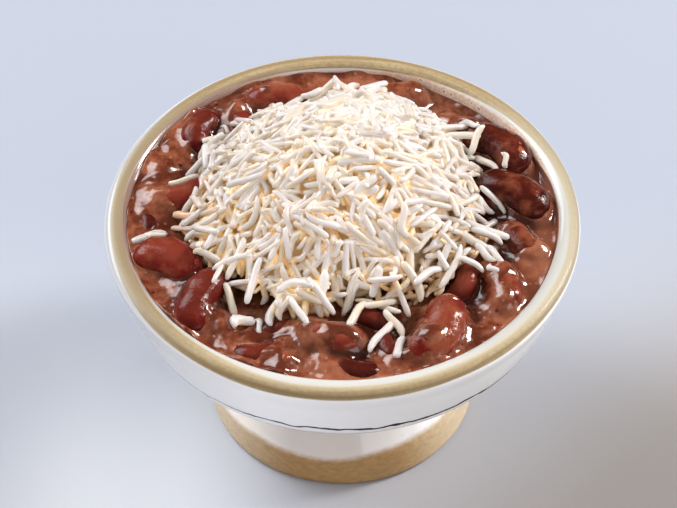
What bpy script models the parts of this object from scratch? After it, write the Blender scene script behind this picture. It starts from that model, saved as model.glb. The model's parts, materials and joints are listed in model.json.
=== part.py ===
"""Red beans and rice in a footed stoneware bowl.

Metres, +Z up. The bowl's axis is Z and its foot rests on z = 0. The stew fills the bowl to just
below its lip, whole kidney beans stand out of the stew, and a heap of long-grain rice lies on it.
"""

import math

import bmesh
import bpy
from mathutils import Euler, Matrix, Vector, noise

MM = 0.001
GAP = 0.3 * MM
TINY = 0.01 * MM
TURN_STEPS = 32
TURNED_EDGE = 35.0
BEAN_EDGE = 60.0

# The bowl, as radius and height above the table. The wall runs down from the lip, turns in under
# the body to a neck, and flares into the foot.
HEIGHT = 73.5 * MM
LIP_RADIUS = 65.0 * MM
LIP_HALF_WIDTH = 3.2 * MM
LIP_HALF_HEIGHT = 2.5 * MM
LIP_POINTS = 7
OUTER_WALL = [
    (63.7, 65.5),
    (62.2, 59.5),
    (60.3, 53.5),
    (58.2, 49.0),
    (55.2, 45.3),
    (50.6, 41.8),
    (43.5, 38.2),
    (36.2, 35.2),
    (31.6, 31.8),
    (30.0, 27.6),
    (30.9, 22.4),
    (34.3, 16.0),
    (37.9, 9.6),
    (38.8, 5.2),
    (39.1, 1.0),
    (38.3, 0.0),
]
FOOT_RING_WIDTH = 5.0 * MM
FOOT_RECESS = 3.0 * MM
INNER_WALL = [
    (58.3, 69.0),
    (57.9, 64.0),
    (56.6, 57.5),
    (53.8, 50.5),
    (48.6, 45.0),
    (40.0, 41.4),
    (24.0, 39.6),
]
INNER_FLOOR = 39.2 * MM

# The stew. Its surface is level by the heap, swells farther out, and climbs a little where it wets
# the wall.
STEW_LEVEL = 70.4 * MM
STEW_RADII = [22, 38, 44, 50, 55]
WALL_CLIMB = 0.5 * MM
CLIMB_FROM = 54.0 * MM
CLIMB_TO = 58.0 * MM
STEW_SWELL = 0.9 * MM
SWELL_LENGTH = 11.0 * MM
STILL_WITHIN = 1.5 * MM
SWELLING_BEYOND = 6.0 * MM

# The heap of rice: its middle, its height above the stew, and its reach from the middle at
# twelve bearings, counted from +X towards +Y.
HEAP_MIDDLE = (2.0 * MM, 8.0 * MM)
HEAP_HEIGHT = 22.5 * MM
HEAP_REACH = [38.0, 38.5, 43.0, 44.5, 44.5, 42.0, 44.5, 46.5, 46.0, 41.0, 43.0, 41.5]
HEAP_PROFILE = [
    (0.0, 1.0),
    (0.17, 0.98),
    (0.34, 0.9),
    (0.51, 0.75),
    (0.67, 0.56),
    (0.81, 0.36),
    (0.92, 0.195),
    (0.98, 0.09),
    (1.0, 0.03),
    (0.97, 0.0),
    (0.6, 0.0),
    (0.0, 0.0),
]
HEAP_CLEARANCE = 1.2 * GAP
HEAP_ROUGHNESS = 1.3 * MM
LUMP_LENGTH = 8.0 * MM
SMOOTH_BELOW = 0.03
ROUGH_ABOVE = 0.3

# Kidney beans. Width and thickness follow from the length. Each row gives the middle (x, y), how
# far the middle stands above the stew, the heading of the long axis, the rise of the headed end,
# and the length: millimetres and degrees. The dent's length is a share of half the bean's.
WIDTH_SHARE = 0.54
THICKNESS_SHARE = 0.46
BEND_SHARE = 0.07
DENT_SHARE = 0.09
DENT_LENGTH = 0.4
BLUNTNESS = 2.6
POCKET_CLEARANCE = 1.3 * GAP
BEANS = [
    (-18.7, 47.2, 0.0, 178, 0, 19.0),
    (-27.3, 36.0, -0.5, -52, 8, 16.5),
    (-40.5, 33.1, 0.6, -108, 0, 17.0),
    (-46.3, 20.0, -2.3, 195, 16, 15.0),
    (-44.5, 7.8, -0.5, 18, 5, 18.0),
    (-53.2, -2.6, -1.2, 92, 0, 10.5),
    (-46.0, -16.9, 0.6, 154, 4, 19.5),
    (-36.9, -32.1, 1.6, -112, -6, 21.0),
    (-28.3, -39.2, -1.8, -14, 0, 11.5),
    (-15.8, -39.6, -1.8, 10, 0, 12.0),
    (-21.4, -48.4, -0.8, 12, 0, 13.5),
    (-12.8, -52.2, -2.6, -20, -62, 11.0),
    (-2.9, -44.1, 1.7, -12, 0, 17.0),
    (3.2, -53.0, -2.0, -15, 0, 14.5),
    (8.6, -35.9, -1.4, -25, -10, 14.0),
    (12.4, -46.6, -1.3, -62, 0, 12.5),
    (24.8, -42.5, 1.8, 64, 6, 22.0),
    (31.2, -25.6, -0.8, 55, 22, 14.5),
    (35.8, -41.2, -1.8, 30, 0, 10.5),
    (42.0, -26.0, 0.8, 105, 0, 18.0),
    (48.8, -9.8, -0.4, -50, 0, 16.5),
    (47.2, 6.8, 2.0, 147, 0, 22.0),
    (44.2, 25.4, 1.2, 135, 0, 22.0),
    (33.6, 38.6, -1.9, -35, 15, 13.5),
    (15.8, 49.0, 0.0, 6, 0, 16.5),
]
BEAN_SEGMENTS = 10
BEAN_RINGS = 6


def clear_scene():
    for obj in list(bpy.data.objects):
        bpy.data.objects.remove(obj, do_unlink=True)


def new_collection(name):
    collection = bpy.data.collections.new(name)
    bpy.context.scene.collection.children.link(collection)
    return collection


def new_material(name, color, roughness, coat=0.0):
    """A non-metallic material with a linear RGB colour."""
    material = bpy.data.materials.new(name)
    material.use_nodes = True
    shader = material.node_tree.nodes["Principled BSDF"]
    shader.inputs["Base Color"].default_value = (*color, 1.0)
    shader.inputs["Roughness"].default_value = roughness
    shader.inputs["Metallic"].default_value = 0.0
    shader.inputs["Coat Weight"].default_value = coat
    return material


def new_object(name, mesh, collection, material=None):
    obj = bpy.data.objects.new(name, mesh)
    collection.objects.link(obj)
    if material:
        mesh.materials.clear()
        mesh.materials.append(material)
    return obj


def shade(mesh, sharp_degrees=TURNED_EDGE):
    mesh.shade_smooth()
    mesh.set_sharp_from_angle(angle=math.radians(sharp_degrees))


def turned_mesh(name, profile):
    """The closed surface that a profile of (radius, height) makes when it turns about Z."""
    outline = bpy.data.meshes.new(name + "_profile")
    points = [(radius, 0.0, height) for radius, height in profile]
    outline.from_pydata(points, [(i, i + 1) for i in range(len(points) - 1)], [])
    obj = bpy.data.objects.new(name + "_profile", outline)
    bpy.context.scene.collection.objects.link(obj)
    screw = obj.modifiers.new("Turn", "SCREW")
    screw.axis = "Z"
    screw.angle = math.tau
    screw.steps = TURN_STEPS
    screw.render_steps = TURN_STEPS
    screw.use_merge_vertices = True
    screw.merge_threshold = TINY
    graph = bpy.context.evaluated_depsgraph_get()
    mesh = bpy.data.meshes.new_from_object(obj.evaluated_get(graph))
    mesh.name = name
    bpy.data.objects.remove(obj, do_unlink=True)
    bpy.data.meshes.remove(outline)
    return mesh


def in_mm(points):
    return [(radius * MM, height * MM) for radius, height in points]


def lip_arc():
    """The rounded lip, from its inner side over the top to its widest point."""
    middle = LIP_RADIUS - LIP_HALF_WIDTH
    centre_height = HEIGHT - LIP_HALF_HEIGHT
    arc = []
    for i in range(LIP_POINTS):
        turn = math.pi * (1.0 - i / (LIP_POINTS - 1))
        radius = middle + LIP_HALF_WIDTH * math.cos(turn)
        arc.append((radius, centre_height + LIP_HALF_HEIGHT * math.sin(turn)))
    return arc


def bowl_profile():
    """From the middle of the inner floor over the lip to the middle of the underside."""
    inside = [(0.0, INNER_FLOOR)] + in_mm(reversed(INNER_WALL))
    outside = in_mm(OUTER_WALL)
    ring_inner = outside[-1][0] - FOOT_RING_WIDTH
    recess = [
        (ring_inner, 0.0),
        (ring_inner - FOOT_RECESS / 2, FOOT_RECESS),
        (0.0, FOOT_RECESS),
    ]
    return inside + lip_arc() + outside + recess


def stew_profile():
    """From the middle of the surface down the inside of the bowl to the middle of its floor."""
    edge = LIP_RADIUS - 2 * LIP_HALF_WIDTH - GAP
    surface = [0.0] + [radius * MM for radius in STEW_RADII] + [edge]
    side = [(radius - GAP, height + GAP) for radius, height in in_mm(INNER_WALL)]
    top = [(radius, STEW_LEVEL) for radius in surface]
    return top + side + [(0.0, INNER_FLOOR + 2 * GAP)]


def smooth_step(value, low, high):
    share = min(max((value - low) / (high - low), 0.0), 1.0)
    return share * share * (3.0 - 2.0 * share)


def heap_reach(bearing):
    """How far the heap reaches at a bearing in radians, eased between the listed bearings."""
    place = (bearing / math.tau) % 1.0 * len(HEAP_REACH)
    before = int(place) % len(HEAP_REACH)
    after = (before + 1) % len(HEAP_REACH)
    share = smooth_step(place - int(place), 0.0, 1.0)
    return MM * (HEAP_REACH[before] * (1.0 - share) + HEAP_REACH[after] * share)


def stew_surface(x, y):
    """The height of the stew: level under the heap, swelling around it, climbing at the wall."""
    from_axis = math.hypot(x, y)
    east, north = x - HEAP_MIDDLE[0], y - HEAP_MIDDLE[1]
    outside_heap = math.hypot(east, north) - heap_reach(math.atan2(north, east))
    freedom = smooth_step(outside_heap, STILL_WITHIN, SWELLING_BEYOND)
    swell = STEW_SWELL * noise.noise(Vector((x, y, 0.0)) / SWELL_LENGTH)
    climb = WALL_CLIMB * smooth_step(from_axis, CLIMB_FROM, CLIMB_TO)
    return STEW_LEVEL + freedom * swell + climb


def kidney_mesh(name, length, growth=0.0):
    """A bean along X: blunt ends, bent towards +Y, with a dent in the middle of that side.
    Growth moves its skin outwards, for the pocket that the bean lies in."""
    width = WIDTH_SHARE * length
    half = Vector((length, width, THICKNESS_SHARE * length)) / 2
    half += Vector((growth, growth, growth))
    shape = bmesh.new()
    ends_on_x = Matrix.Rotation(math.pi / 2, 4, "Y")
    bmesh.ops.create_uvsphere(
        shape, u_segments=BEAN_SEGMENTS, v_segments=BEAN_RINGS, radius=1.0, matrix=ends_on_x
    )
    for vert in shape.verts:
        along, across, up = vert.co
        ring = math.hypot(across, up)
        fullness = (1.0 - min(abs(along), 1.0) ** BLUNTNESS) ** (1 / BLUNTNESS) / max(ring, 0.01)
        dent = DENT_SHARE * width * math.exp(-((along / DENT_LENGTH) ** 2)) * max(across, 0.0)
        bend = BEND_SHARE * length * (along * along - 1 / 3)
        vert.co.x = half.x * along
        vert.co.y = half.y * across * fullness - dent + bend
        vert.co.z = half.z * up * fullness
    mesh = bpy.data.meshes.new(name)
    shape.to_mesh(mesh)
    shape.free()
    shade(mesh, BEAN_EDGE)
    return mesh


def lay(bean, x, y, rise, heading, tilt):
    bean.location = (x * MM, y * MM, STEW_LEVEL + rise * MM)
    bean.rotation_euler = Euler((0.0, -math.radians(tilt), math.radians(heading)))


def build_beans(collection, cutters, material):
    for i, (x, y, rise, heading, tilt, length) in enumerate(BEANS):
        name = f"bean_{i + 1:02d}"
        bean = new_object(name, kidney_mesh(name, length * MM), collection, material)
        lay(bean, x, y, rise, heading, tilt)
        pocket_mesh = kidney_mesh(name + "_pocket", length * MM, POCKET_CLEARANCE)
        pocket = new_object(name + "_pocket", pocket_mesh, cutters)
        lay(pocket, x, y, rise, heading, tilt)
        pocket.hide_render = True
        pocket.display_type = "WIRE"


def cut_pockets(obj, cutters):
    cut = obj.modifiers.new("Bean pockets", "BOOLEAN")
    cut.operation = "DIFFERENCE"
    cut.solver = "EXACT"
    cut.operand_type = "COLLECTION"
    cut.collection = cutters


def build_bowl(collection, material):
    mesh = turned_mesh("bowl", bowl_profile())
    shade(mesh)
    return new_object("bowl", mesh, collection, material)


def build_stew(collection, cutters, material):
    mesh = turned_mesh("stew", stew_profile())
    for vert in mesh.vertices:
        if vert.co.z > STEW_LEVEL - TINY:
            vert.co.z = stew_surface(vert.co.x, vert.co.y)
    shade(mesh)
    stew = new_object("stew", mesh, collection, material)
    cut_pockets(stew, cutters)
    return stew


def build_heap(collection, cutters, material):
    mesh = turned_mesh("rice_heap", HEAP_PROFILE)
    base = STEW_LEVEL + HEAP_CLEARANCE
    for vert in mesh.vertices:
        out, bearing, up = math.hypot(vert.co.x, vert.co.y), 0.0, vert.co.z
        if out > 0.0:
            bearing = math.atan2(vert.co.y, vert.co.x)
        reach = out * heap_reach(bearing)
        vert.co.x = HEAP_MIDDLE[0] + reach * math.cos(bearing)
        vert.co.y = HEAP_MIDDLE[1] + reach * math.sin(bearing)
        lump = HEAP_ROUGHNESS * noise.noise(Vector((vert.co.x, vert.co.y, 0.0)) / LUMP_LENGTH)
        vert.co.z = base + up * HEAP_HEIGHT + lump * smooth_step(up, SMOOTH_BELOW, ROUGH_ABOVE)
    shade(mesh)
    heap = new_object("rice_heap", mesh, collection, material)
    cut_pockets(heap, cutters)
    return heap


def main():
    clear_scene()
    dish = new_collection("red_beans_and_rice")
    cutters = new_collection("bean_pockets")
    glaze = new_material("glazed_stoneware", (0.74, 0.72, 0.72), 0.22, coat=0.4)
    gravy = new_material("bean_gravy", (0.20, 0.055, 0.026), 0.25, coat=0.5)
    skin = new_material("bean_skin", (0.10, 0.014, 0.010), 0.3, coat=0.4)
    grain = new_material("cooked_rice", (0.80, 0.72, 0.55), 0.5)
    build_bowl(dish, glaze)
    build_beans(dish, cutters, skin)
    build_stew(dish, cutters, gravy)
    build_heap(dish, cutters, grain)


main()
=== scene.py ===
"""Red beans and rice in a footed stoneware bowl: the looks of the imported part.

Metres, +Z up, in the part's own frame: the bowl's axis is Z and its foot rests on z = 0. Each
operator makes one piece, or one group of like pieces, and main() runs them in order.
"""

import json
import math

import bmesh
import bpy
import numpy as np
from bpy.props import FloatProperty, FloatVectorProperty, IntProperty, PointerProperty
from mathutils import Matrix, Vector, noise
from mathutils.bvhtree import BVHTree

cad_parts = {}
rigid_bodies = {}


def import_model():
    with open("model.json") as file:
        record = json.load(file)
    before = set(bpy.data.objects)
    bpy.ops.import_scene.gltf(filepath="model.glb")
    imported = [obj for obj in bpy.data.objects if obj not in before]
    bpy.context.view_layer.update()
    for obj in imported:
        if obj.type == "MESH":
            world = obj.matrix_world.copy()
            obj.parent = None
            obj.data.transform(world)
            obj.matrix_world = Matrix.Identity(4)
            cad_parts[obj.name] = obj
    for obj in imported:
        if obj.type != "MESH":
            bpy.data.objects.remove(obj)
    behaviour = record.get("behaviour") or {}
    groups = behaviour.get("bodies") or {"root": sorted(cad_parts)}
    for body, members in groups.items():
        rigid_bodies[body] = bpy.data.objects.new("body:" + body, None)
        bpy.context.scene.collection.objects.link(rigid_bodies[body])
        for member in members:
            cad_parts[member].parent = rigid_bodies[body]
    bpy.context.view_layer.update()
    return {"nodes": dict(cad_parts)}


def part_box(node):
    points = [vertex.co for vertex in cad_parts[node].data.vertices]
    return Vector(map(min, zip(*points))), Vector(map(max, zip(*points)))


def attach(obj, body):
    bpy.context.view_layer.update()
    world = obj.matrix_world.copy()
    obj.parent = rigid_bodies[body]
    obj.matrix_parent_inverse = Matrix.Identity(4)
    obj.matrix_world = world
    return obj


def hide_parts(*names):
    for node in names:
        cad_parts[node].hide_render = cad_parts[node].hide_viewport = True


bl_info = {
    "name": "Red beans and rice",
    "version": (1, 0, 0),
    "blender": (4, 5, 0),
    "location": "3D View > Sidebar > Red beans",
    "description": "Dresses a footed bowl of red beans and rice, from its glaze to single grains",
    "category": "Object",
}

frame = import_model()
NODES = frame["nodes"]
BODY = "root"
MM = 0.001
BOWL_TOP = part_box("bowl")[1]
BEAN_NODES = sorted(name for name in NODES if name.startswith("bean_"))
STEW_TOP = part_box("stew")[1].z


# Settings ---------------------------------------------------------------------------------------


def color_property(name, description, color):
    return FloatVectorProperty(
        name=name, description=description, default=color, subtype="COLOR", size=3, min=0.0, max=1.0
    )


def length_property(name, description, metres):
    return FloatProperty(
        name=name, description=description, default=metres, min=0.0, unit="LENGTH", precision=4
    )


class BowlSettings(bpy.types.PropertyGroup):
    """The glazed bowl."""

    wobble: length_property("Hand wobble", "How far the wall strays from a circle", 0.12 * MM)
    foot_band: length_property("Foot band", "How high the bare clay of the foot reaches", 10.0 * MM)
    line_height: length_property("Line height", "Height of the thin line round the wall", 53.4 * MM)
    line_width: length_property("Line width", "Width of the thin brushed line", 1.35 * MM)
    glaze: color_property("Glaze", "White glaze of the wall", (0.90, 0.915, 0.955))
    band: color_property("Lip band", "Tan glaze brushed round the lip", (0.35, 0.262, 0.138))
    foot: color_property("Foot", "Bare tan clay of the foot band", (0.34, 0.205, 0.09))
    line: color_property("Line", "Dark brushed line", (0.012, 0.012, 0.018))


class GravySettings(bpy.types.PropertyGroup):
    """The thick bean gravy."""

    level: length_property("Level", "Height of the still gravy over the table", STEW_TOP - 1.0 * MM)
    swell: length_property("Swell", "How far its surface rises and falls", 0.6 * MM)
    wetting: length_property("Wetting", "How far it creeps up what stands in it", 0.9 * MM)
    color: color_property("Colour", "Gravy", (0.28, 0.094, 0.049))
    deep_color: color_property("Deep colour", "Gravy where it is thick", (0.13, 0.033, 0.017))
    milky_color: color_property("Milky colour", "Gravy clouded with starch", (0.40, 0.18, 0.11))


class BeanSettings(bpy.types.PropertyGroup):
    """The kidney beans."""

    wrinkle: length_property("Wrinkle", "Depth of the folds in the skin", 0.24 * MM)
    skin: color_property("Skin", "Bean skin", (0.168, 0.016, 0.012))
    dark_skin: color_property("Dark skin", "The darkest bean skins", (0.052, 0.008, 0.005))


class RiceSettings(bpy.types.PropertyGroup):
    """The cooked long-grain rice."""

    grain_length: length_property("Grain length", "Mean length of a cooked grain", 10.2 * MM)
    grain_width: length_property("Grain width", "Mean width of a cooked grain", 1.98 * MM)
    layer: length_property("Layer", "Depth of single grains over the heap's core", 4.8 * MM)
    seed: IntProperty(name="Seed", description="Another seed lays the grains anew", default=7)
    color: color_property("Colour", "Cooked rice", (0.56, 0.53, 0.522))
    # The warm and deep colours are painted light-through and painted shade in the gaps between
    # grains.
    warm_color: color_property("Warm colour", "Rice lit through its neighbours", (0.87, 0.71, 0.47))
    deep_color: color_property("Deep colour", "Rice deep in the gaps", (0.81, 0.64, 0.43))
    stain: color_property("Stain", "Rice that has soaked up gravy", (0.62, 0.36, 0.19))
    glow: color_property("Glow", "Light that soaks through the grains", (0.076, 0.057, 0.030))
    tips: IntProperty(name="Tips", description="Grains that stick out of the heap", default=75)
    stragglers: IntProperty(name="Stragglers", description="Grains along its edge", default=60)


class StageSettings(bpy.types.PropertyGroup):
    """The floor, the lights and the camera."""

    elevation: FloatProperty(
        name="Elevation",
        description="Camera above the horizon",
        default=math.radians(45.8),
        subtype="ANGLE",
    )
    distance: length_property("Distance", "Camera from the middle of the lip", 525.0 * MM)
    lens: FloatProperty(
        name="Focal length", description="Focal length of the camera", default=102.36, unit="CAMERA"
    )
    floor: color_property("Floor", "Pale floor", (0.50, 0.525, 0.585))
    sky: color_property("Surround", "Light that comes from all round", (1.0, 0.93, 0.87))
    sky_strength: FloatProperty(
        name="Surround strength", description="How strong the light from all round is", default=0.74
    )
    key_power: FloatProperty(
        name="Main light", description="Power of the main soft light in watts", default=42.0
    )


class DishSettings(bpy.types.PropertyGroup):
    """All settings of the dish."""

    bowl: PointerProperty(type=BowlSettings)
    gravy: PointerProperty(type=GravySettings)
    beans: PointerProperty(type=BeanSettings)
    rice: PointerProperty(type=RiceSettings)
    stage: PointerProperty(type=StageSettings)


# Node trees -------------------------------------------------------------------------------------


class Wire:
    """A node's output that Python's operators work on: each one adds a Math node to its tree."""

    def __init__(self, graph, socket):
        self.graph = graph
        self.socket = socket

    def __add__(self, other):
        return self.graph.math("ADD", self, other)

    __radd__ = __add__

    def __sub__(self, other):
        return self.graph.math("SUBTRACT", self, other)

    def __rsub__(self, other):
        return self.graph.math("SUBTRACT", other, self)

    def __mul__(self, other):
        return self.graph.math("MULTIPLY", self, other)

    __rmul__ = __mul__

    def __truediv__(self, other):
        return self.graph.math("DIVIDE", self, other)


class Graph:
    """Builds one node tree. add() makes any node; the rest are short names for common ones."""

    def __init__(self, tree):
        self.tree = tree

    def add(self, kind, settings=None, sockets=None):
        node = self.tree.nodes.new(kind)
        for name, value in (settings or {}).items():
            setattr(node, name, value)
        for name, value in (sockets or {}).items():
            if isinstance(value, Wire):
                self.tree.links.new(value.socket, node.inputs[name])
            else:
                node.inputs[name].default_value = value
        return node

    def wire(self, kind, settings=None, sockets=None, output=0):
        return Wire(self, self.add(kind, settings, sockets).outputs[output])

    def wires(self, kind, sockets, *outputs):
        """Several outputs of one node."""
        node = self.add(kind, None, sockets)
        return [Wire(self, node.outputs[output]) for output in outputs]

    def math(self, operation, *values):
        return self.wire("ShaderNodeMath", {"operation": operation}, dict(enumerate(values)))

    def ramp(self, value, low, high):
        """0 where value is at low or beyond, 1 at high or beyond, eased between them."""
        sockets = {"Value": value, "From Min": low, "From Max": high}
        return self.wire("ShaderNodeMapRange", {"interpolation_type": "SMOOTHSTEP"}, sockets)

    def bump_of(self, value, middle, half_width, softness):
        """1 within half_width of the middle, easing to 0 over the softness."""
        away = self.math("ABSOLUTE", value - middle)
        return self.ramp(away, half_width + softness, half_width)

    def mix(self, share, first, second):
        """A colour between two colours, each a wire or three numbers."""
        sockets = {0: share, 6: first, 7: second}
        for socket in (6, 7):
            if not isinstance(sockets[socket], Wire):
                sockets[socket] = rgba(sockets[socket])
        return self.wire("ShaderNodeMix", {"data_type": "RGBA"}, sockets, 2)

    def paint(self, color, *layers):
        """A colour with others laid over it one by one, each given as (share, colour)."""
        for share, over in layers:
            color = self.mix(share, color, over)
        return color

    def separate(self, vector):
        return self.wires("ShaderNodeSeparateXYZ", {0: vector}, 0, 1, 2)

    def combine(self, x, y, z):
        return self.wire("ShaderNodeCombineXYZ", None, {0: x, 1: y, 2: z})

    def noise(self, vector, scale, detail=2.0, roughness=0.5):
        sockets = {"Vector": vector, "Scale": scale, "Detail": detail, "Roughness": roughness}
        return self.wire("ShaderNodeTexNoise", None, sockets)

    def scatter(self, vector, scale):
        """The distance to the nearest of many scattered points, and a random number of its own."""
        sockets = {"Vector": vector, "Scale": scale}
        distance, color = self.wires("ShaderNodeTexVoronoi", sockets, "Distance", "Color")
        return distance, self.separate(color)[0]

    def attribute(self, name):
        return self.wire("ShaderNodeAttribute", {"attribute_name": name}, None, "Fac")

    def bump(self, height, distance):
        sockets = {"Height": height, "Distance": distance, "Strength": 1.0}
        return self.wire("ShaderNodeBump", None, sockets)


def rgba(color):
    return (*color, 1.0)


def surface_graph(name):
    """A new material with an empty tree, its graph, and the Object coordinates."""
    material = bpy.data.materials.new(name)
    material.use_nodes = True
    material.node_tree.nodes.clear()
    graph = Graph(material.node_tree)
    return material, graph, graph.wire("ShaderNodeTexCoord", output="Object")


def finish_surface(graph, sockets, scattering="RANDOM_WALK"):
    shader = graph.wire("ShaderNodeBsdfPrincipled", {"subsurface_method": scattering}, sockets)
    graph.add("ShaderNodeOutputMaterial", None, {"Surface": shader})


def geometry_graph(name, inputs):
    """A Geometry Nodes tree with these named inputs, its graph, and the wires of its inputs."""
    tree = bpy.data.node_groups.new(name, "GeometryNodeTree")
    tree.interface.new_socket("Geometry", in_out="INPUT", socket_type="NodeSocketGeometry")
    for label, kind in inputs.items():
        tree.interface.new_socket(label, in_out="INPUT", socket_type="NodeSocket" + kind)
    tree.interface.new_socket("Geometry", in_out="OUTPUT", socket_type="NodeSocketGeometry")
    graph = Graph(tree)
    labels = ["Geometry", *inputs]
    return tree, graph, dict(zip(labels, graph.wires("NodeGroupInput", None, *labels)))


def end_tree(graph, geometry, material):
    """Realizes the instances, sets the material and smooth faces, and leads to the output."""
    real = graph.wire("GeometryNodeRealizeInstances", None, {"Geometry": geometry})
    smooth = graph.wire("GeometryNodeSetShadeSmooth", None, {0: real})
    done = graph.wire("GeometryNodeSetMaterial", None, {"Geometry": smooth, "Material": material})
    graph.add("NodeGroupOutput", None, {"Geometry": done})


def grow(obj, tree, values):
    """Runs a tree on an object and keeps the result as the object's plain mesh."""
    modifier = obj.modifiers.new(tree.name, "NODES")
    modifier.node_group = tree
    for item in tree.interface.items_tree:
        if item.in_out == "INPUT" and item.name in values:
            modifier[item.identifier] = values[item.name]
    scene_graph = bpy.context.evaluated_depsgraph_get()
    mesh = bpy.data.meshes.new_from_object(
        obj.evaluated_get(scene_graph), preserve_all_data_layers=True, depsgraph=scene_graph
    )
    obj.modifiers.clear()
    points = obj.data
    obj.data = mesh
    bpy.data.meshes.remove(points)
    mesh.name = obj.name


# Shapes -----------------------------------------------------------------------------------------


def new_object(name, mesh, material=None):
    obj = bpy.data.objects.new(name, mesh)
    bpy.context.scene.collection.objects.link(obj)
    if material:
        mesh.materials.append(material)
    return obj


def mesh_of(name, points, faces):
    mesh = bpy.data.meshes.new(name)
    mesh.from_pydata([tuple(point) for point in points], [], faces)
    mesh.validate()
    mesh.shade_smooth()
    return mesh


def ring_faces(rings, around):
    """Quads between neighbouring rings of points, each ring closed."""
    faces = []
    for ring in range(rings - 1):
        for i in range(around):
            after = (i + 1) % around
            low, high = ring * around, (ring + 1) * around
            faces.append((low + i, high + i, high + after, low + after))
    return faces


def fan_faces(middle, first, around, turned):
    """Triangles from one point to the ring that starts at index first."""
    faces = []
    for i in range(around):
        pair = (first + i, first + (i + 1) % around)
        faces.append((middle, *(reversed(pair) if turned else pair)))
    return faces


def closed_rings(name, rings, top, bottom):
    """A closed surface: rings of points from the top one out and down, and a point at each end."""
    around = len(rings[0])
    points = [point for ring in rings for point in ring] + [top, bottom]
    count = len(rings) * around
    faces = ring_faces(len(rings), around)
    faces += fan_faces(count, 0, around, False)
    faces += fan_faces(count + 1, count - around, around, True)
    return mesh_of(name, points, faces)


def store(mesh, name, kind, values):
    """Keeps one value for each point of a mesh under a name that nodes can read."""
    layer = mesh.attributes.new(name, kind, "POINT")
    field = "vector" if kind == "FLOAT_VECTOR" else "value"
    number = np.int32 if kind == "INT" else np.float32
    layer.data.foreach_set(field, np.asarray(values, number).ravel())


def noise_at(points, size, shift=0.0):
    """Smooth noise from about -1 to 1, with lumps of the given size, at each point."""
    offset = Vector((shift, shift * 1.7, shift * 2.3))
    return np.array([noise.noise(Vector(point) / size + offset) for point in points])


def noise_over(x, y, size, shift):
    """The same noise over a grid of places on the level z = 0."""
    places = np.stack([x.ravel(), y.ravel(), np.zeros(x.size)], -1)
    return noise_at(places, size, shift).reshape(x.shape)


def ease(values, low, high):
    """0 where a value is at low or beyond, 1 at high or beyond, eased between them."""
    share = np.clip((values - low) / (high - low), 0.0, 1.0)
    return share * share * (3.0 - 2.0 * share)


def present(obj, slot, *replaced):
    """Says what the finished piece rides on and hides the nodes that it stands for. Its slot, the
    finish, is not used.
    """
    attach(obj, BODY)
    if replaced:
        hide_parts(*replaced)


# Bowl -------------------------------------------------------------------------------------------

WELD = 0.002 * MM

# The lip's rounded section, the spacing of points along the bowl's, and where its hidden parts are.
LIP_HALF_WIDTH = 3.2 * MM
LIP_HALF_HEIGHT = 2.5 * MM
LIP_RADIUS = BOWL_TOP.x - LIP_HALF_WIDTH
LIP_HEIGHT = BOWL_TOP.z - LIP_HALF_HEIGHT
DRAWN_SPACING = 0.05 * MM
LIP_SPACING = 0.38 * MM
WALL_SPACING = 0.95 * MM
HIDDEN_SPACING = 2.5 * MM
BELOW_LIP = 4 * MM
RECESS_RADIUS = 30 * MM
RECESS_HEIGHT = 4 * MM
BOWL_STEPS = 288

# Colours of the band on the lip, of the white glaze, of the foot, and of gravy on the inner wall,
# with painted light and painted shade among them where marked.
BRUSHED_TAN = (0.46, 0.375, 0.235)
THICK_TAN = (0.225, 0.15, 0.075)
TAN_GRAIN = (0.24, 0.17, 0.09)
THIN_TAN = (0.66, 0.59, 0.45)
GREY_TAN = (0.39, 0.355, 0.275)
# Painted shade on the inner half of the tan band towards -X.
PAINTED_SHADE_TAN = (0.235, 0.17, 0.09)
WARM_TAN = (0.30, 0.235, 0.13)
CLOUDY_WHITE = (0.87, 0.885, 0.93)
# Painted light on the white glaze towards +X, and painted shade on it towards -X.
PAINTED_LIGHT_WHITE = (0.95, 0.965, 1.0)
PAINTED_SHADE_WHITE = (0.53, 0.54, 0.565)
CREAM = (0.50, 0.495, 0.465)
TURNED_CLAY = (0.46, 0.295, 0.125)
# Painted light on the bare clay towards the foot's sides.
PAINTED_LIGHT_CLAY = (0.7, 0.6, 0.44)
# Painted shade on the white foot at its front and back, and painted light on it towards -X.
PAINTED_SHADE_FOOT = (0.56, 0.485, 0.42)
PAINTED_LIGHT_FOOT = (0.93, 0.86, 0.79)
IRON = (0.10, 0.06, 0.035)
# Painted shade on the inner wall towards -X.
PAINTED_SHADE_WALL = (0.27, 0.19, 0.17)
SMEAR = (0.78, 0.60, 0.47)
THIN_SMEAR = (0.88, 0.78, 0.66)
# Painted shade on the gravy smear towards -X.
PAINTED_SHADE_SMEAR = (0.27, 0.18, 0.15)
WET_SMEAR = (0.21, 0.065, 0.028)


def bowl_section():
    """The bowl's outline at bearing 0 as (radius, height), from inner floor to underside."""
    shape = bmesh.new()
    shape.from_mesh(NODES["bowl"].data)
    bmesh.ops.remove_doubles(shape, verts=shape.verts, dist=WELD)
    section = {vert for vert in shape.verts if abs(vert.co.y) < WELD and vert.co.x > -WELD}
    here = max((vert for vert in section if vert.co.x < WELD), key=lambda vert: vert.co.z)
    outline = []
    while here:
        outline.append((here.co.x, here.co.z))
        section.discard(here)
        others = [edge.other_vert(here) for edge in here.link_edges]
        here = next((vert for vert in others if vert in section), None)
    shape.free()
    return outline


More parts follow.
